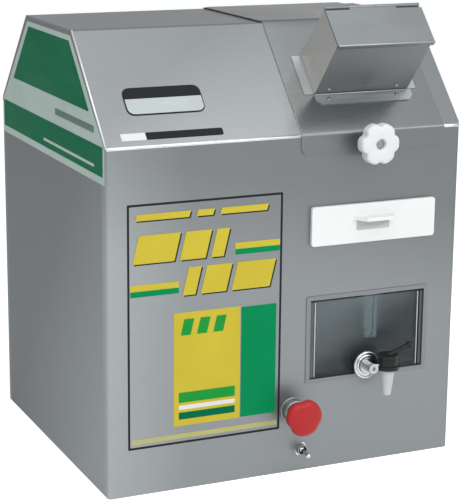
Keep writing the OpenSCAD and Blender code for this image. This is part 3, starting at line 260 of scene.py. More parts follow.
# Clamp knob and the end of its stud: radius and distance behind the face, in millimetres, and the notches
KNOB_PROFILE = ((9, 20), (9, 14.2), (17.7, 14), (20.3, 13.4), (21.6, 12), (22, 10), (22, 4), (21.7, 2.2),
                (20.8, 0.8), (19, 0), (12, 0), (7, 0), (6.1, 0.3), (5.7, 1), (5.6, 6), (0.2, 6))
STUD_PROFILE = ((4.9, 6.5), (4.9, 3.4), (4.5, 2.9), (3, 2.7), (0.2, 2.7))
KNOB_LOBES = 6
KNOB_FIRST_NOTCH = 90
KNOB_PLACES = tuple((KNOB_FIRST_NOTCH + 360 / KNOB_LOBES * lobe, 1.0) for lobe in range(KNOB_LOBES))
KNOB_NOTCHES = Notches(KNOB_PLACES, width=0.17, depth=3.4 * MM, bite=12 * MM)
NO_NOTCHES = Notches((), width=1.0, depth=0.0, bite=0.0)

# Round pieces: steps round a ring and round a wire, and a rod's end as shares of its radius, across and along
HOOP_STEPS = 72
WIRE_STEPS = 16
ROD_END = ((0.4, 0.0), (0.8, 0.2), (1.0, 0.6))

# Tap: distance of the flange's face from the front, then radius and wire of its rings in millimetres
TAP_FACE = 12.5 * MM
TAP_RINGS = ((13.6, 0.9), (10.2, 0.9), (7.0, 0.8))

# Drop tube: height of the lip and the ring above its end in millimetres, their wire and that of the beads
LIP_AT = (1.2, 9)
LIP_R = 1.1 * MM
TUBE_BEAD_R = 0.8 * MM

# Pale rods on the tank's upright edges, painted highlights of its polished edges: radius and distance in
EDGE_R = 0.6 * MM
EDGE_IN = 0.3 * MM

# Liners beside the tank, in a darker copy of the steel that paints the shade in the window's jambs: x of each
# in millimetres, distance in, thickness and edge
LINER_AT = {"left": (26.4, 31.5), "right": (159.0, 162.4)}
LINER_IN = 2.6 * MM
LINER_T = 1.2 * MM
LINER_EDGE = 0.2 * MM

# Grey film on the drawer's front, a painted shadow of the pull: x from the drawer's middle and height in
# millimetres, its lengths, and the pull's reach
PULL_SHADOW_X = (-21, 18)
PULL_SHADOW_Z = (259.4, 270.6)
PULL_SHADOW_T = 0.5 * MM
PULL_SHADOW_EDGE = PULL_SHADOW_T / 3
PULL_SHADOW_CORNER = 1.5 * MM
PULL_REACH = 14 * MM

# Bends of the hood's fold and the bead on the slope, in a brighter steel than the sheet that paints their
# highlights: radius, rise out of the sheet and gap at the ends
FOLD_R = 2.4 * MM
FOLD_PEEK = 0.26 * MM
FOLD_GAP = 0.9 * MM
BEAD_R = 1.1 * MM
BEAD_PEEK = 0.35 * MM

# Feet at the sides of the chute, in a lighter copy of the steel that paints light in the chute's shade:
# width, gap and span up the slope in millimetres, height of the cover and thickness
FOOT_W = 11
FOOT_GAP = 0.1
FOOT_SPAN = (48, 97)
COVER_OUT = 1.8 * MM
FOOT_T = 0.9 * MM
FOOT_EDGE = FOOT_T / 3

# Bend at the chute's foot and hem of the lid, in a lighter copy of the steel that paints their highlights:
# radius, and the hem's distance in
BEND_R = 0.9 * MM
HEM_R = 0.95 * MM
HEM_IN = 0.75 * MM

# Dark strip beside the cover, a painted shade of the gap there: width, gap and span in y in millimetres,
# thickness, edge and corner
GAP_SHADE_W = 3.6
GAP_SHADE_CLEARANCE = 0.4
GAP_SHADE_SPAN = (-74, 74)
GAP_SHADE_T = 1.2 * MM
GAP_SHADE_EDGE = GAP_SHADE_T / 3
GAP_SHADE_CORNER = GAP_SHADE_T / 2


# Node tree helpers

class Shader:
    """A material's node tree, with a short call for each kind of node that the finishes use."""

    def __init__(self, name):
        self.material = bpy.data.materials.new(name)
        self.material.use_nodes = True
        self.nodes = self.material.node_tree.nodes
        self.links = self.material.node_tree.links
        self.nodes.clear()
        self.out = self.nodes.new("ShaderNodeOutputMaterial")
        self.body = self.nodes.new("ShaderNodeBsdfPrincipled")
        self.links.new(self.body.outputs["BSDF"], self.out.inputs["Surface"])
        self.coordinates = self.nodes.new("ShaderNodeTexCoord")

    def axes(self, output):
        """The x, y and z of one output of the piece's coordinates."""
        node = self.nodes.new("ShaderNodeSeparateXYZ")
        self.links.new(self.coordinates.outputs[output], node.inputs[0])
        return node.outputs[0], node.outputs[1], node.outputs[2]

    def put(self, value, socket):
        """Links an output to a socket, or writes a value in it."""
        if isinstance(value, bpy.types.NodeSocket):
            self.links.new(value, socket)
        else:
            socket.default_value = value

    def set(self, **values):
        """Writes or links the main shader's sockets; an underscore stands for a space."""
        for key, value in values.items():
            self.put(value, self.body.inputs[key.replace("_", " ")])

    def noise(self, kind, stretch=(1, 1, 1)):
        """A noise from the table, in the piece's own place, stretched by axis."""
        mapping = self.nodes.new("ShaderNodeMapping")
        mapping.inputs["Scale"].default_value = stretch
        self.links.new(self.coordinates.outputs["Object"], mapping.inputs["Vector"])
        node = self.nodes.new("ShaderNodeTexNoise")
        for key, number in zip(("Scale", "Detail", "Roughness"), NOISES[kind]):
            node.inputs[key].default_value = number
        self.links.new(mapping.outputs["Vector"], node.inputs["Vector"])
        return node.outputs["Fac"]

    def ramp(self, value, low, high, start=0.3, end=0.7):
        """A number from low to high as value goes from start to end."""
        node = self.nodes.new("ShaderNodeMapRange")
        for key, number in zip(("From Min", "From Max", "To Min", "To Max"), (start, end, low, high)):
            node.inputs[key].default_value = number
        self.links.new(value, node.inputs["Value"])
        return node.outputs["Result"]

    def mix(self, factor, first, second):
        """A colour between two colours."""
        node = self.nodes.new("ShaderNodeMix")
        node.data_type = "RGBA"
        self.put(factor, node.inputs["Factor"])
        self.put(first, node.inputs[MIX_FIRST])
        self.put(second, node.inputs[MIX_SECOND])
        return node.outputs[MIX_RESULT]

    def cloudy(self, noise, colour, shares):
        """A colour that goes between two shares of itself with a noise."""
        return self.mix(self.ramp(noise, 0.0, 1.0), tone(colour, shares[0]), tone(colour, shares[1]))

    def scale(self, colour, number):
        """A colour times a number."""
        node = self.nodes.new("ShaderNodeVectorMath")
        node.operation = "SCALE"
        self.put(colour, node.inputs[0])
        self.put(number, node.inputs["Scale"])
        return node.outputs[0]

    def join(self, first, second, kind="ADD"):
        """Two numbers joined by a sum or another operation."""
        node = self.nodes.new("ShaderNodeMath")
        node.operation = kind
        self.put(first, node.inputs[0])
        self.put(second, node.inputs[1])
        return node.outputs[0]

    def bump(self, height, distance, strength, below=None):
        """A normal from a height, on top of another normal."""
        node = self.nodes.new("ShaderNodeBump")
        node.inputs["Strength"].default_value = strength
        node.inputs["Distance"].default_value = distance
        self.links.new(height, node.inputs["Height"])
        if below is not None:
            self.links.new(below, node.inputs["Normal"])
        return node.outputs["Normal"]


def tone(colour, share):
    """The colour made lighter or darker by a share."""
    return tuple(min(1.0, part * share) for part in colour[:3]) + (1.0,)


def srgb(red, green, blue):
    """A linear colour from the numbers of a picture."""
    def line(value):
        part = value / 255
        return part / 12.92 if part <= 0.04045 else ((part + 0.055) / 1.055) ** 2.4
    return (line(red), line(green), line(blue), 1.0)


def on_axis(axis, there, elsewhere):
    """Three numbers, with one of them for an axis and another for the rest."""
    return tuple(there if number == axis else elsewhere for number in range(3))


# Finishes

# A painted side has another colour and roughness on the faces that look against an axis; its colour is
# painted light and shade on those faces
Side = namedtuple("Side", "axis colour rougher")

# A painted edge has a share of the colour at the left end, which goes over a share of the width: a painted
# sheen
PaintedEdge = namedtuple("PaintedEdge", "share reach")

# A painted fade of light and shade goes between two shares of the colour, over a span of the weighted places
# in the piece's box. A right share is a further share at the right end; a fade that has one is for the faces
# that look to the front alone
Fade = namedtuple("Fade", "weights span shares right_share", defaults=(None,))


def painted_fade_colour(s, tint, fade):
    """The colour with a painted fade of light and shade over the piece."""
    parts = [s.join(part, weight, "MULTIPLY") for part, weight in zip(s.axes("Generated"), fade.weights)]
    place = s.join(s.join(parts[0], parts[1]), parts[2])
    share = s.ramp(place, *fade.shares, *fade.span)
    if fade.right_share:
        right = s.ramp(s.axes("Generated")[0], 1.0, fade.right_share, *RIGHT_RANGE)
        facing = s.ramp(s.axes("Normal")[1], 1.0, 0.0, *FRONT_RANGE)
        change = s.join(s.join(share, right, "MULTIPLY"), 1.0, "SUBTRACT")
        share = s.join(1.0, s.join(facing, change, "MULTIPLY"))
    return s.scale(tint, share)


def brushed(name, colour, grain, rough=(0.29, 0.34), wave=0.0, sides=(), edge=None, fade=None):
    """Brushed sheet: fine lines along the grain axis, cloudy handling marks, and a slow wave in the sheet,
    its height in millimetres; with sides, an edge and a fade where they are given, which paint light and
    shade."""
    s = Shader(name)
    lines = s.noise("brush", on_axis(grain, BRUSH_ALONG, BRUSH_ACROSS))
    marks = s.noise("marks")
    tint = s.cloudy(marks, colour, BRUSH_TONES)
    tint = s.mix(s.ramp(lines, 0.0, LINE_SHARE), tint, tone(colour, LINE_TONE))
    # Painted sheen at the left end of the piece
    if edge:
        near = s.ramp(s.axes("Generated")[0], 1.0, 0.0, 0.0, edge.reach)
        tint = s.mix(near, tint, tone(colour, edge.share))
    # Painted light and shade that fades over the piece
    if fade:
        tint = painted_fade_colour(s, tint, fade)
    gloss = s.join(s.ramp(lines, *rough), s.ramp(marks, *MARK_GLOSS))
    # Painted light and shade on the faces that look against an axis
    for side in sides:
        facing = s.ramp(s.axes("Normal")[side.axis], 1.0, 0.0, *SIDE_RANGE)
        tint = s.mix(facing, tint, side.colour)
        gloss = s.join(gloss, s.join(facing, side.rougher, "MULTIPLY"))
    normal = s.bump(lines, *BRUSH_BUMP)
    if wave:
        normal = s.bump(s.noise("wave"), wave * MM, WAVE_STRENGTH, normal)
    s.set(Base_Color=tint, Metallic=SHEET_METALLIC, Roughness=gloss, Normal=normal)
    s.set(Anisotropic=SHEET_ANISOTROPY, Specular_Tint=EDGE_TINT, Specular_IOR_Level=SHEET_SHINE)
    return s.material


def turned(name, colour, axis, rough=(0.2, 0.34)):
    """Machined metal: fine rings across the turning axis, with a film of oil in patches."""
    s = Shader(name)
    cut = s.noise("cut", on_axis(axis, CUT_ALONG, CUT_ROUND))
    oil = s.noise("oil")
    gloss = s.join(s.ramp(cut, *rough), s.ramp(oil, *OIL_GLOSS))
    s.set(Base_Color=s.cloudy(oil, colour, OIL_TONES), Metallic=1.0, Roughness=gloss)
    s.set(Normal=s.bump(cut, *CUT_BUMP))
    return s.material


def moulded(name, colour, rough=(0.28, 0.4), shift=0.03, shine=0.35):
    """Moulded plastic: fine orange peel, slight clouding of the colour and rubbed patches."""
    s = Shader(name)
    tint = s.cloudy(s.noise("cloud"), colour, (1 - shift, 1 + shift))
    s.set(Base_Color=tint, Roughness=s.ramp(s.noise("rub"), *rough))
    s.set(Normal=s.bump(s.noise("peel"), *PEEL_BUMP), Specular_IOR_Level=shine)
    return s.material


def painted(name, colour):
    """Machine paint over a casting: a soft sand texture with dust in patches."""
    s = Shader(name)
    dust = s.noise("dust")
    tint = s.mix(s.ramp(dust, 0.0, DUST_SHARE), colour, tone(colour, DUST_TONE))
    s.set(Base_Color=tint, Roughness=s.ramp(dust, *PAINT_ROUGH), Normal=s.bump(s.noise("sand"), *SAND_BUMP))
    return s.material


def clear_smoke(name, colour):
    """Smoked clear plastic, less clear towards the upper left with wipe marks in it: a painted reflection
    that fades from the upper left to the lower right.
    """
    s = Shader(name)
    wipe = s.noise("tank_wipe", TANK_STRETCH)
    across, _, up = s.axes("Generated")
    # Painted reflection: less clear, and so paler, towards the upper left, broken up by the wipe marks
    reflection_place = s.join(up, s.join(across, REFLECTION_LEAN, "MULTIPLY"), "SUBTRACT")
    reflection_place = s.join(reflection_place, s.ramp(wipe, *REFLECTION_WIPE))
    s.set(Base_Color=s.cloudy(wipe, colour, TANK_TONES), Roughness=s.ramp(wipe, *TANK_ROUGH))
    s.set(Transmission_Weight=s.ramp(reflection_place, *TANK_CLEAR, *REFLECTION_RANGE))
    s.set(IOR=TANK_IOR, Coat_Weight=TANK_COAT, Coat_Roughness=TANK_COAT_ROUGH)
    return s.material


def printed(name, colour, rough=(0.42, 0.55), shine=0.06):
    """Ink on vinyl film: a faint print grain, slow ageing and wipe marks in the gloss."""
    s = Shader(name)
    ink = s.noise("ink")
    tint = s.cloudy(s.noise("ageing"), colour, AGE_TONES)
    tint = s.mix(s.ramp(ink, 0.0, INK_SHARE), tint, tone(colour, INK_TONE))
    s.set(Base_Color=tint, Roughness=s.ramp(s.noise("film_wipe", FILM_STRETCH), *rough))
    s.set(Specular_IOR_Level=shine, Normal=s.bump(ink, *INK_BUMP))
    return s.material


STEEL = srgb(130, 134, 136)

# The finish of each material slot in the record
SLOT_FINISH = {
    "casing_steel": brushed("casing_steel_looks", STEEL, 0, wave=0.5),
    "chute_steel": brushed("chute_steel_looks", tone(STEEL, 0.97), 0, rough=(0.34, 0.42), wave=0.3),
    "inner_steel": brushed("inner_steel_looks", srgb(165, 166, 166), 1, rough=(0.3, 0.5)),
    "frame_steel": painted("frame_steel_looks", srgb(92, 95, 99)),
    "bright_steel": turned("bright_steel_looks", srgb(196, 197, 200), 1),
    "roll_steel": turned("roll_steel_looks", srgb(190, 192, 194), 0),
    "gear_steel": turned("gear_steel_looks", srgb(120, 122, 124), 0, rough=(0.3, 0.46)),
    "bronze": turned("bronze_looks", srgb(188, 146, 84), 0, rough=(0.26, 0.4)),
    "machine_paint": painted("machine_paint_looks", srgb(84, 104, 118)),
    "copper_core": turned("copper_core_looks", srgb(150, 98, 62), 2, rough=(0.34, 0.5)),
    "fan_plastic": moulded("fan_plastic_looks", srgb(44, 45, 47), rough=(0.42, 0.58)),
    "white_plastic": moulded("white_plastic_looks", srgb(238, 239, 239), shift=0.012),
    "smoked_clear": clear_smoke("smoked_clear_looks", srgb(152, 164, 167)),
    # A darker copy of the chrome of the rings: painted shade on the tap's chrome parts
    "tap_chrome": turned("tap_chrome_looks", srgb(168, 172, 174), 1, rough=(0.16, 0.26)),
    "tap_black": moulded("tap_black_looks", srgb(30, 32, 33), rough=(0.3, 0.44), shine=0.2),
    "tap_white": moulded("tap_white_looks", srgb(200, 204, 203)),
    "stop_red": moulded("stop_red_looks", srgb(180, 44, 46), rough=(0.3, 0.42), shine=0.2),
    "collar_grey": moulded("collar_grey_looks", srgb(150, 152, 154), rough=(0.35, 0.5)),
    "black_rubber": moulded("black_rubber_looks", srgb(30, 30, 31), rough=(0.6, 0.75)),
}

# Nodes with a finish of their own
NODE_FINISH = {
    # Painted light and shade on the hood: darker to the upper left, lighter to the lower right, and darker at
    # the right end of the faces that look to the front
    "hood": brushed("hood_steel_looks", STEEL, 0, wave=0.5,
                    fade=Fade(weights=(1, 0, -0.5), span=(-0.1, 0.45), shares=(0.8, 1.25), right_share=0.78)),
    # Painted light and shade on the cover: a darker front flange, a lighter left edge and a darker strip at
    # its very top
    "roll_cover": brushed("cover_steel_looks", tone(STEEL, 0.93), 0, rough=(0.22, 0.27), wave=0.3,
                          sides=(Side(1, tone(STEEL, 0.76), 0.2), Side(0, srgb(214, 217, 219), 0.3)),
                          fade=Fade(weights=(0, 0, 1), span=(0.93, 0.99), shares=(1.0, 0.82))),
    # Painted light and shade on the front panel: a sheen towards its left end, and darker towards its top
    "front_panel": brushed("front_steel_looks", tone(STEEL, 0.94), 0, rough=(0.4, 0.46), wave=0.5,
                           edge=PaintedEdge(share=1.34, reach=0.22),
                           fade=Fade(weights=(0.25, 0, 1), span=(0.7, 1.0), shares=(1.1, 0.82))),
    # Painted light on the chute: a lighter, warmer colour on the faces that look to the left
    "feed_chute": brushed("feed_chute_looks", tone(STEEL, 0.95), 0, rough=(0.5, 0.6), wave=0.3,
                          sides=(Side(0, srgb(204, 201, 195), -0.25),)),
    "window_frame": brushed("window_frame_looks", tone(STEEL, 0.92), 0, rough=(0.4, 0.46)),
    # A lighter copy of the steel on the chute's strip: painted light
    "chute_strip": brushed("lit_strip_steel_looks", tone(STEEL, 1.5), 0, rough=(0.42, 0.52)),
    "drop_tube": turned("tube_steel_looks", srgb(214, 217, 219), 2, rough=(0.08, 0.16)),
    "chute_rivets": SLOT_FINISH["chute_steel"],
    "lid_hinge_pin": SLOT_FINISH["chute_steel"],
}
# Painted light and shade on the side panels: lighter towards the front and the bottom, darker towards the
# back and the top
SIDE_STEEL = brushed("side_steel_looks", STEEL, 1, wave=0.5,
                     fade=Fade(weights=(0, 1, 1), span=(0.2, 0.95), shares=(1.3, 0.84)))
NODE_FINISH["left_side_panel"] = SIDE_STEEL
NODE_FINISH["right_side_panel"] = SIDE_STEEL

# Finishes of the modelled pieces
# Turned steel, brighter than the sheet, for the fold bends and the slope's bead: painted highlights
FOLD_HIGHLIGHT_STEEL = SLOT_FINISH["bright_steel"]
# A lighter copy of the steel for the chute's feet: painted light
LIT_FOOT_STEEL = brushed("lit_foot_steel_looks", tone(STEEL, 1.6), 0, rough=(0.42, 0.52))
# A darker copy of the steel for the liners: painted shade in the window's jambs
SHADED_LINER_STEEL = brushed("shaded_liner_steel_looks", tone(STEEL, 0.5), 2, rough=(0.5, 0.6))
# A lighter copy of the steel for the bend at the chute's foot and the lid's hem: painted highlights
HIGHLIGHT_EDGE_STEEL = brushed("highlight_edge_looks", tone(STEEL, 1.4), 0)
# A lighter copy of the tap's chrome, for the tap's rings and the drop tube's lips and beads: painted
# highlights
LIT_CHROME = turned("lit_chrome_looks", srgb(208, 210, 211), 1, rough=(0.14, 0.22))
COLLAR_METAL = turned("collar_metal_looks", srgb(136, 138, 140), 1, rough=(0.32, 0.44))
KNOB_WHITE = moulded("knob_white_looks", srgb(224, 228, 229), shift=0.012)
# Grey for the painted shadow under the drawer's pull
PULL_SHADOW_GREY = moulded("pull_shadow_grey_looks", srgb(190, 193, 194), rough=(0.4, 0.55))
# Pale moulded plastic for the tank's edges: painted highlights
TANK_EDGE_HIGHLIGHT = moulded("tank_edge_highlight_looks", srgb(206, 214, 216), rough=(0.12, 0.22), shine=0.6)

# Prints
YELLOW = printed("yellow_print", srgb(204, 186, 62))
GREEN = printed("green_print", srgb(4, 138, 84))
DEEP_GREEN = printed("deep_green_print", srgb(8, 108, 74), shine=0.02)
BLACK = printed("black_print", srgb(38, 40, 44))
PALE = printed("pale_print", srgb(186, 204, 198))
WHITE = printed("white_print", srgb(226, 226, 226))
LEAF = printed("leaf_print", srgb(34, 150, 62))
STRAW = printed("straw_print", srgb(188, 184, 122))
GREY_PRINT = printed("grey_print", srgb(96, 122, 116))
SILVER = printed("silver_print", srgb(178, 188, 188), rough=(0.2, 0.3), shine=0.4)

# Print of each bar at the foot of the decal's yellow block
BAR_PRINTS = {"green": LEAF, "white": WHITE, "deep": DEEP_GREEN}

# Beads of the drop tube, bright and dark lines that paint its reflections: name, degrees from the front and
# finish
TUBE_REFLECTION_BEADS = (
    ("left", -62, LIT_CHROME),
    ("middle", -4, SLOT_FINISH["gear_steel"]),
    ("right", 55, LIT_CHROME),
)


def finish_nodes():
    """Every CAD node takes its own finish, or that of its slot in the record."""
    for part in frame["record"]["subparts"]:
        look = NODE_FINISH.get(part["node"], SLOT_FINISH[part["material_slot"]])
        mesh = NODES[part["node"]].data
        mesh.materials.clear()
        mesh.materials.append(look)


# Camera, floor and light

def make_camera():
    """The camera at the photograph's place."""
    data = bpy.data.cameras.new("camera")
    data.sensor_fit = "VERTICAL"
    data.sensor_height = SENSOR
    data.lens = SENSOR * CAMERA_FOCAL_PX / IMAGE_H
    data.clip_end = CLIP_END
    forward = Vector((math.sin(CAMERA_YAW) * math.cos(CAMERA_PITCH),
                      math.cos(CAMERA_YAW) * math.cos(CAMERA_PITCH), -math.sin(CAMERA_PITCH)))
    level = forward.cross(UP).normalized()
    rise = level.cross(forward)
    right = level * math.cos(CAMERA_ROLL) + rise * math.sin(CAMERA_ROLL)
    turn = Matrix((right, right.cross(forward), -forward)).transposed().to_4x4()
    camera = bpy.data.objects.new("camera", data)
    bpy.context.scene.collection.objects.link(camera)
    camera.matrix_world = Matrix.Translation(CAMERA_AT) @ turn
    bpy.context.scene.camera = camera


def seen_rays(nodes, links):
    """1 for rays that show the background: from the camera, in a reflection or through a clear piece."""
    path = nodes.new("ShaderNodeLightPath")
    total = path.outputs["Is Camera Ray"]
    for ray in ("Is Glossy Ray", "Is Transmission Ray"):
        join = nodes.new("ShaderNodeMath")
        join.operation = "MAXIMUM"
        links.new(total, join.inputs[0])
        links.new(path.outputs[ray], join.inputs[1])
        total = join.outputs[0]
    return total


def make_world():
    """Even studio light, in front of a white background."""
    world = bpy.data.worlds.new("studio")
    bpy.context.scene.world = world
    world.use_nodes = True
    nodes, links = world.node_tree.nodes, world.node_tree.links
    nodes.clear()
    out = nodes.new("ShaderNodeOutputWorld")
    mix = nodes.new("ShaderNodeMixShader")
    light = nodes.new("ShaderNodeBackground")
    light.inputs["Color"].default_value = AMBIENT
    white = nodes.new("ShaderNodeBackground")
    white.inputs["Color"].default_value = BACKGROUND
    links.new(seen_rays(nodes, links), mix.inputs["Fac"])
    links.new(light.outputs[0], mix.inputs[1])
    links.new(white.outputs[0], mix.inputs[2])
    links.new(mix.outputs[0], out.inputs["Surface"])


def make_floor():
    """A pale floor that fades into the white background and keeps the object's shadow."""
    mesh = bpy.data.meshes.new("floor")
    square = ((-1, -1), (1, -1), (1, 1), (-1, 1))
    low = CAD_BOX[0][2]
    mesh.from_pydata([(x * FLOOR_HALF, y * FLOOR_HALF, low) for x, y in square], [], [(0, 1, 2, 3)])
    floor = bpy.data.objects.new("floor", mesh)
    bpy.context.scene.collection.objects.link(floor)
    s = Shader("floor_looks")
    s.set(Base_Color=FLOOR_COLOUR, Roughness=FLOOR_ROUGH, Specular_IOR_Level=0.0)
    glow = s.nodes.new("ShaderNodeEmission")
    glow.inputs["Color"].default_value = FLOOR_LIFT
    both = s.nodes.new("ShaderNodeAddShader")
    s.links.new(s.body.outputs["BSDF"], both.inputs[0])
    s.links.new(glow.outputs[0], both.inputs[1])
    mix = s.nodes.new("ShaderNodeMixShader")
    s.links.new(seen_rays(s.nodes, s.links), mix.inputs["Fac"])
    s.links.new(s.body.outputs["BSDF"], mix.inputs[1])
    s.links.new(both.outputs[0], mix.inputs[2])
    s.links.new(mix.outputs[0], s.out.inputs["Surface"])
    mesh.materials.append(s.material)


def make_lights():
    """The soft boxes: a key from above, one from the front that draws the folds, one from the left, one on
    the floor before the front, one over the chute and a small rim light."""
    for name, at, aim, size, power in LAMPS:
        data = bpy.data.lights.new(name, "AREA")
        data.shape = "RECTANGLE"
        data.size, data.size_y = size
        data.energy = power
        lamp = bpy.data.objects.new(name, data)
        bpy.context.scene.collection.objects.link(lamp)
        turn = (Vector(aim) - Vector(at)).to_track_quat("-Z", "Y")
        lamp.matrix_world = Matrix.Translation(at) @ turn.to_matrix().to_4x4()


# Places on the casing

def corners(node):
    """The low and the high corner of a node's box."""
    low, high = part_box(node)
    return Vector(low), Vector(high)


def front_plane(u, v, out):
    """A point on the front panel: x, height and distance out."""
    return Vector((u, FRONT_Y - out, v))


def side_plane(u, v, out):
    """A point on the left side: y, height and distance out."""
    return Vector((LEFT_X - out, u, v))


def top_plane(u, v, out):
    """A point on the flat top: x, y and height above it."""
    return Vector((u, v, HOOD_TOP + out))


def slope_plane(u, v, out):
    """A point on the front slope: x, distance up the slope and out from it."""
    return Vector((u, FRONT_Y + v * math.cos(SLOPE) - out * math.sin(SLOPE),
                   FOLD_H + v * math.sin(SLOPE) + out * math.cos(SLOPE)))


def on_slope(point):
    """A point of the frame as x, distance up the front slope and out from it."""
    y, z = point[1] - FRONT_Y, point[2] - FOLD_H
    return Vector((point[0], y * math.cos(SLOPE) + z * math.sin(SLOPE),
                   z * math.cos(SLOPE) - y * math.sin(SLOPE)))


def slope_box(node):
    """The low and the high corner of a node in the slope's own directions."""
    points = [on_slope(vertex.co) for vertex in NODES[node].data.vertices]
    by_axis = list(zip(*points))
    return Vector([min(axis) for axis in by_axis]), Vector([max(axis) for axis in by_axis])


# Meshes

def bridge(bm, low, high):
    """Faces between two closed rows with as many points each."""
    for i in range(len(low)):
        j = (i + 1) % len(low)
        bm.faces.new((low[i], low[j], high[j], high[i]))


def add_piece(name, bm, look, body):
    """The piece made of a mesh, with its look and the body that it rides."""
    bmesh.ops.recalc_face_normals(bm, faces=bm.faces[:])
    mesh = bpy.data.meshes.new(name)
    bm.to_mesh(mesh)
    bm.free()
    piece = bpy.data.objects.new(name, mesh)
    bpy.context.scene.collection.objects.link(piece)
    mesh.materials.append(look)
    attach(piece, body)
    return piece


def rounded(points, radius):
    """The closed outline with its corners rounded; radius is one number or one for each corner."""
    line = []
    count = len(points)
    radii = radius if isinstance(radius, (tuple, list)) else [radius] * count
    for i in range(count):
        here, back, ahead = (Vector(points[(i + k) % count]) for k in (0, -1, 1))
        to_back, to_ahead = (back - here).normalized(), (ahead - here).normalized()
        half = to_back.angle(to_ahead) / 2
        run = min(radii[i] / math.tan(half), (back - here).length / 2, (ahead - here).length / 2)
        start, end = here + to_back * run, here + to_ahead * run
        for k in range(ARC_STEPS + 1):
            t = k / ARC_STEPS
            line.append((1 - t) ** 2 * start + 2 * t * (1 - t) * here + t ** 2 * end)
    return line


def outline(points, radius=FILM_CORNER):
    """A rounded outline from points in millimetres."""
    return rounded([(u * MM, v * MM) for u, v in points], radius)


def box_line(u0, v0, u1, v1, radius=FILM_CORNER):
    """A rounded rectangle from two corners in millimetres."""
    return outline([(u0, v0), (u1, v0), (u1, v1), (u0, v1)], radius)


def slant_line(u0, v0, u1, v1, lean):
    """A bar with slanted ends in millimetres."""
    return outline([(u0, v0), (u1, v0), (u1 + lean, v1), (u0 + lean, v1)], SLANT_CORNER)


def film_wall(bm, line, plane, heights, inward):
    """The side of a film: a row of points at each of three heights, the last one drawn in."""
    middle = sum((Vector(p) for p in line), Vector((0, 0))) / len(line)
    top = [Vector(p) - (Vector(p) - middle).normalized() * inward for p in line]
    rows = []
    for height, loop in zip(heights, (line, line, top)):
        rows.append([bm.verts.new(plane(p[0], p[1], height)) for p in loop])
    for low, high in zip(rows, rows[1:]):
        bridge(bm, low, high)
    return rows


def film(name, line, plane, look, lift=0.0, thick=FILM_T, edge=FILM_EDGE, hole=None,
         body="casing"):
    """A thin piece lying on a plane, with a soft edge; hole is an inner outline with as many points."""
    bm = bmesh.new()
    heights = (lift, lift + thick - edge, lift + thick)
    outer = film_wall(bm, line, plane, heights, edge)
    if hole is None:
        bm.faces.new(outer[-1])
        bm.faces.new(list(reversed(outer[0])))
    else:
        inner = film_wall(bm, hole, plane, heights, -edge)
        bridge(bm, outer[0], inner[0])
        bridge(bm, outer[-1], inner[-1])
    add_piece(name, bm, look, body)


def skin(name, rings, look, body, closed=False):
    """A smooth piece through a row of rings with as many points each: capped, or closed to a loop."""
    bm = bmesh.new()
    rows = [[bm.verts.new(point) for point in ring] for ring in rings]
    for low, high in zip(rows, rows[1:]):
        bridge(bm, low, high)
    if closed:
        bridge(bm, rows[-1], rows[0])
    else:
        bm.faces.new(list(reversed(rows[0])))
        bm.faces.new(rows[-1])
    for face in bm.faces:
        face.smooth = True
    return add_piece(name, bm, look, body)


def circle(centre, radius, first, second, steps):
    """Points round a centre, from the first direction towards the second."""
    turns = [math.tau * step / steps for step in range(steps)]
    return [centre + (first * math.cos(turn) + second * math.sin(turn)) * radius for turn in turns]


def rod(name, start, end, radius, look, body):
    """A round bar with rounded ends between two points."""
    along = (end - start).normalized()
    side = along.orthogonal().normalized()
    places = [(start + along * radius * at, radius * share) for share, at in ROD_END]
    places += [(end - along * radius * at, radius * share) for share, at in reversed(ROD_END)]
    rings = [circle(centre, reach, side, along.cross(side), WIRE_STEPS) for centre, reach in places]
    skin(name, rings, look, body)


def hoop(name, centre, radius, wire, across, axis, look, body):
    """A round ring of wire about an axis, in the plane of the frame's x and the direction across."""
    outward = circle(Vector(), 1.0, RIGHT, across, HOOP_STEPS)
    rings = [circle(centre + out * radius, wire, out, axis, WIRE_STEPS) for out in outward]
    skin(name, rings, look, body, closed=True)


def front_ring(name, node, profile, look):
    """A ring on the front round the middle of a node: profile is radius and distance out, in millimetres."""
    low, high = corners(node)
    middle = (low + high) / 2
    rings = [circle(front_plane(middle.x, middle.z, out * MM), radius * MM, RIGHT, UP, HOOP_STEPS)
             for radius, out in profile]
    return skin(name, rings, look, "casing", closed=True)


def lobed(name, profile, centre, notches, look, body):
    """A turned piece on the front with notches in its rim; profile is radius and place in y."""
    rings = []
    widest = max(radius for radius, _ in profile)
    for radius, y in profile:
        share = max(0.0, (radius - notches.bite) / (widest - notches.bite)) ** 2
        ring = []
        for step in range(LOBE_STEPS):
            angle = math.tau * step / LOBE_STEPS
            dip = 0.0
            for at, weight in notches.places:
                away = (angle - math.radians(at) + math.pi) % math.tau - math.pi
                dip += weight * math.exp(-(away / notches.width) ** 2)
            reach = radius - notches.depth * dip * share
            ring.append((centre.x + reach * math.cos(angle), y, centre.z + reach * math.sin(angle)))
        rings.append(ring)
    return skin(name, rings, look, body)


# Films, labels and badges on the sheet

def slanted_row(name, heights, spans, lean):
    """A row of slanted yellow bars over a dark edge; spans are pairs of x."""
    z0, z1 = heights
    for number, (x0, x1) in enumerate(spans):
        shifted = slant_line(x0 + EDGE_SHIFT, z0 - EDGE_SHIFT, x1 + EDGE_SHIFT, z1 - EDGE_SHIFT, lean)
        film(f"{name}_edge_{number}", shifted, front_plane, BLACK)
        film(f"{name}_bar_{number}", slant_line(x0, z0, x1, z1, lean), front_plane, YELLOW, lift=FILM_T)


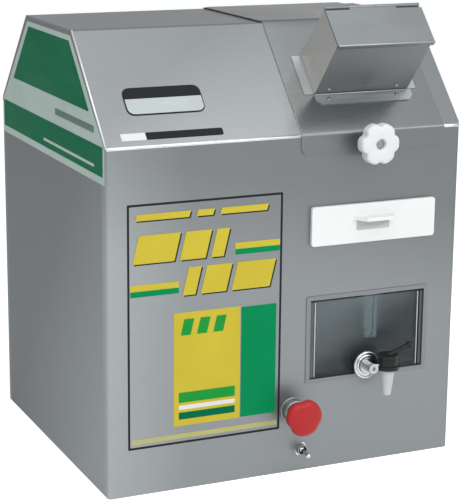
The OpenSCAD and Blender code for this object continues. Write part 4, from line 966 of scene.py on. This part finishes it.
def make_front_decal():
    """The framed decal on the front panel: a thin frame, slanted bars, two blocks, bars and stripe pairs."""
    film("decal_frame", box_line(*DECAL_FRAME), front_plane, BLACK, hole=box_line(*DECAL_FRAME_HOLE))
    for row in DECAL_ROWS:
        slanted_row(*row)
    film("decal_yellow_block", box_line(*DECAL_YELLOW_BLOCK), front_plane, YELLOW)
    film("decal_green_block", box_line(*DECAL_GREEN_BLOCK), front_plane, GREEN)
    for number, x in enumerate(MARK_AT):
        mark = slant_line(x, MARK_Z[0], x + MARK_W, MARK_Z[1], MARK_LEAN)
        film(f"decal_mark_{number}", mark, front_plane, LEAF, lift=FILM_T)
    for name, (z0, z1) in BAR_Z.items():
        bar = box_line(BAR_X[0], z0, BAR_X[1], z1)
        film(f"decal_bar_{name}", bar, front_plane, BAR_PRINTS[name], lift=FILM_T)
    film("decal_foot_line", box_line(*DECAL_FOOT_LINE), front_plane, STRAW)
    for name, (x0, z0, x1) in STRIPES.items():
        middle, top = z0 + STRIPE_H, z0 + STRIPE_PAIR_H
        film(f"decal_{name}_green_stripe", box_line(x0, z0, x1, middle), front_plane, GREEN)
        film(f"decal_{name}_yellow_stripe", box_line(x0, middle, x1, top), front_plane, YELLOW)


def make_side_label():
    """The label on the left side: a pale film with a green field above a green band, and two plain lines."""
    film("side_label_film", outline(LABEL_FILM), side_plane, PALE)
    film("side_label_field", outline(LABEL_FIELD), side_plane, DEEP_GREEN, lift=FILM_T)
    film("side_label_band", box_line(*LABEL_BAND), side_plane, DEEP_GREEN, lift=FILM_T)
    film("side_label_thin_line", box_line(*LABEL_THIN_LINE), side_plane, PALE, lift=2 * FILM_T)
    film("side_label_grey_line", box_line(*LABEL_GREY_LINE), side_plane, GREY_PRINT, lift=FILM_T)


def make_badges():
    """The badge, silver below and black above in a dark rim, and the strip label, on the front slope."""
    lower = box_line(*BADGE_LOWER, (BADGE_CORNER, BADGE_CORNER, MEET_CORNER, MEET_CORNER))
    upper = box_line(*BADGE_UPPER, (MEET_CORNER, MEET_CORNER, BADGE_CORNER, BADGE_CORNER))
    black = box_line(*STRIP_BLACK, (MEET_CORNER, STRIP_CORNER, STRIP_CORNER, MEET_CORNER))
    film("badge_rim", box_line(*BADGE_RIM, BADGE_RIM_CORNER), slope_plane, BLACK, thick=BADGE_T)
    film("badge_lower", lower, slope_plane, SILVER, lift=BADGE_T)
    film("badge_upper", upper, slope_plane, BLACK, lift=BADGE_T)
    film("strip_white", box_line(*STRIP_WHITE), slope_plane, WHITE)
    film("strip_black", black, slope_plane, BLACK)


# Modelled pieces

def make_stop_head():
    """The mushroom head: a soft dome with three shallow finger notches in its rim."""
    low, high = corners("estop_head")
    radius = (high.x - low.x) / 2
    profile = [(radius * share, high.y + (low.y - high.y) * part) for share, part in HEAD_PROFILE]
    piece = lobed("estop_mushroom", profile, (low + high) / 2, HEAD_NOTCHES,
                  SLOT_FINISH["stop_red"], "estop_button")
    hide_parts("estop_head")


def make_stop_collar():
    """The collar under the stop head: a stepped metal ring round the plunger."""
    piece = front_ring("estop_bezel", "estop_collar", COLLAR_PROFILE, COLLAR_METAL)
    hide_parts("estop_collar")


def make_switch_bush():
    """The bright bush that the switch lever comes out of."""
    front_ring("toggle_bush", "toggle_nut", BUSH_PROFILE, COLLAR_METAL)


def make_knob():
    """The clamp knob: six rounded notches, soft edges and a bore in its face that shows the stud's end."""
    low, high = corners("clamp_knob")
    middle = (low + high) / 2
    profile = [(radius * MM, low.y + back * MM) for radius, back in KNOB_PROFILE]
    # The hub ends where the node ends
    profile[0] = (profile[0][0], high.y)
    piece = lobed("knob_lobes", profile, middle, KNOB_NOTCHES, KNOB_WHITE, "knob")
    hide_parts("clamp_knob")
    stud = [(radius * MM, low.y + back * MM) for radius, back in STUD_PROFILE]
    lobed("knob_stud_end", stud, middle, NO_NOTCHES, COLLAR_METAL, "knob")


def make_tap_rings():
    """Turned rings on the chrome flange of the tap."""
    low, high = corners("tap_shank")
    centre = front_plane((low.x + high.x) / 2, (low.z + high.z) / 2, TAP_FACE)
    for number, (radius, wire) in enumerate(TAP_RINGS):
        hoop(f"tap_ring_{number}", centre, radius * MM, wire * MM, UP, BACK, LIT_CHROME,
             "tank")


def make_tube_trim():
    """The rolled lip at the lower end of the drop tube, the ring above it, and the beads down the tube, whose
    bright and dark finishes paint the tube's reflections.
    """
    points = [vertex.co for vertex in NODES["drop_tube"].data.vertices]
    foot, head = min(p.z for p in points), max(p.z for p in points)
    end = [p for p in points if p.z < foot + LIP_R]
    x0, x1 = min(p.x for p in end), max(p.x for p in end)
    y0, y1 = min(p.y for p in end), max(p.y for p in end)
    middle, radius = Vector(((x0 + x1) / 2, (y0 + y1) / 2, 0)), (x1 - x0) / 2
    rings = [middle + UP * (foot + above * MM) for above in LIP_AT]
    for number, centre in enumerate(rings):
        hoop(f"tube_lip_{number}", centre, radius, LIP_R, BACK, UP, LIT_CHROME, "casing")
    for name, turn, look in TUBE_REFLECTION_BEADS:
        angle = math.radians(turn)
        side = Vector((math.sin(angle), -math.cos(angle), 0)) * radius
        rod(f"tube_reflection_bead_{name}", rings[-1] + side, middle + side + UP * head, TUBE_BEAD_R, look,
            "casing")


def make_tank_edge_highlights():
    """Pale rods on the upright edges of the tank's front wall: painted highlights of its polished edges."""
    low, high = corners("juice_tank")
    for side, x in (("left", low.x + EDGE_R), ("right", high.x - EDGE_R)):
        foot = Vector((x, low.y + EDGE_IN, low.z + EDGE_R))
        head = Vector((x, low.y + EDGE_IN, high.z - EDGE_R))
        rod(f"tank_edge_{side}", foot, head, EDGE_R, TANK_EDGE_HIGHLIGHT, "tank")


def make_window_liners():
    """The steel liners in the window's jambs, beside the tank, in a darker copy of the steel: painted shade.
    """
    low, high = corners("juice_tank")
    for side, (x0, x1) in LINER_AT.items():
        film(f"window_liner_{side}", box_line(x0, low.z / MM, x1, high.z / MM, LINER_EDGE), front_plane,
             SHADED_LINER_STEEL, lift=-LINER_IN, thick=LINER_T, edge=LINER_EDGE)


def make_pull_shadow():
    """A grey film on the drawer's front, under its pull: a painted shadow of the pull."""
    low, high = corners("strainer_drawer")
    middle = (low.x + high.x) / 2 / MM
    line = box_line(middle + PULL_SHADOW_X[0], PULL_SHADOW_Z[0], middle + PULL_SHADOW_X[1], PULL_SHADOW_Z[1], PULL_SHADOW_CORNER)
    film("pull_shadow", line, front_plane, PULL_SHADOW_GREY, lift=FRONT_Y - low.y - PULL_REACH,
         thick=PULL_SHADOW_T, edge=PULL_SHADOW_EDGE, body="drawer")


def fold_bend(name, x0, x1):
    """The rounded bend along the fold of front and slope, between two places in x, in a brighter steel than
    the sheet: a painted highlight.
    """
    slope = Vector((0, -math.sin(SLOPE), math.cos(SLOPE)))
    out = (slope - BACK).normalized()
    depth = FOLD_R / out.dot(-BACK)
    middle = Vector((0, FRONT_Y, FOLD_H)) + out * (FOLD_PEEK - depth)
    rod(name, middle + RIGHT * x0, middle + RIGHT * x1, FOLD_R, FOLD_HIGHLIGHT_STEEL, "casing")


def make_folds():
    """The bends of the hood on both sides of the cover, and the bead along the slope's left edge, in a
    brighter steel than the sheet: painted highlights.
    """
    low, high = corners("roll_cover")
    fold_bend("hood_fold_bend_left", LEFT_X + FOLD_GAP, low.x - FOLD_GAP)
    fold_bend("hood_fold_bend_right", high.x + FOLD_GAP, -LEFT_X - FOLD_GAP)
    side = LEFT_X + BEAD_R - BEAD_PEEK
    slope_length = (HOOD_TOP - FOLD_H) / math.sin(SLOPE)
    foot, head = (slope_plane(side, up, BEAD_PEEK - BEAD_R) for up in (0.0, slope_length))
    rod("slope_edge_bead", foot, head, BEAD_R, FOLD_HIGHLIGHT_STEEL, "casing")


def make_chute_trim():
    """The side feet of the chute on the cover, the bend at its front foot and the hem of its lid, all in
    lighter copies of the steel that paint light and highlights on them.
    """
    low, high = corners("feed_chute")
    left, right = low.x / MM, high.x / MM
    feet = {"left": (left - FOOT_W, left - FOOT_GAP), "right": (right + FOOT_GAP, right + FOOT_W)}
    for side, (x0, x1) in feet.items():
        film(f"chute_foot_{side}", box_line(x0, FOOT_SPAN[0], x1, FOOT_SPAN[1]), slope_plane, LIT_FOOT_STEEL,
             lift=COVER_OUT, thick=FOOT_T, edge=FOOT_EDGE, body="cover")
    _, strip_high = slope_box("chute_strip")
    bend = (strip_high.y - BEND_R, strip_high.z + BEND_R / 2)
    rod("chute_foot_bend", slope_plane(low.x, *bend), slope_plane(high.x, *bend), BEND_R,
        HIGHLIGHT_EDGE_STEEL, "cover")
    lid_low, lid_high = slope_box("chute_lid")
    hem = (lid_low.y + HEM_IN, lid_high.z - HEM_IN)
    rod("lid_hem", slope_plane(lid_low.x, *hem), slope_plane(lid_high.x, *hem), HEM_R,
        HIGHLIGHT_EDGE_STEEL, "lid")


def make_cover_gap_shade():
    """A dark strip along the cover's left edge on the flat top: painted shade of the gap between cover and
    hood.
    """
    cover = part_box("roll_cover")[0][0] / MM
    line = box_line(cover - GAP_SHADE_W, GAP_SHADE_SPAN[0], cover - GAP_SHADE_CLEARANCE, GAP_SHADE_SPAN[1], GAP_SHADE_CORNER)
    film("cover_gap_shade", line, top_plane, SLOT_FINISH["black_rubber"], thick=GAP_SHADE_T,
         edge=GAP_SHADE_EDGE)


finish_nodes()
make_camera()
make_world()
make_floor()
make_lights()
make_front_decal()
make_side_label()
make_badges()
make_stop_head()
make_stop_collar()
make_switch_bush()
make_knob()
make_tap_rings()
make_tube_trim()
make_tank_edge_highlights()
make_window_liners()
make_pull_shadow()
make_folds()
make_chute_trim()
make_cover_gap_shade()

scene = bpy.context.scene
scene.view_settings.view_transform = "Standard"
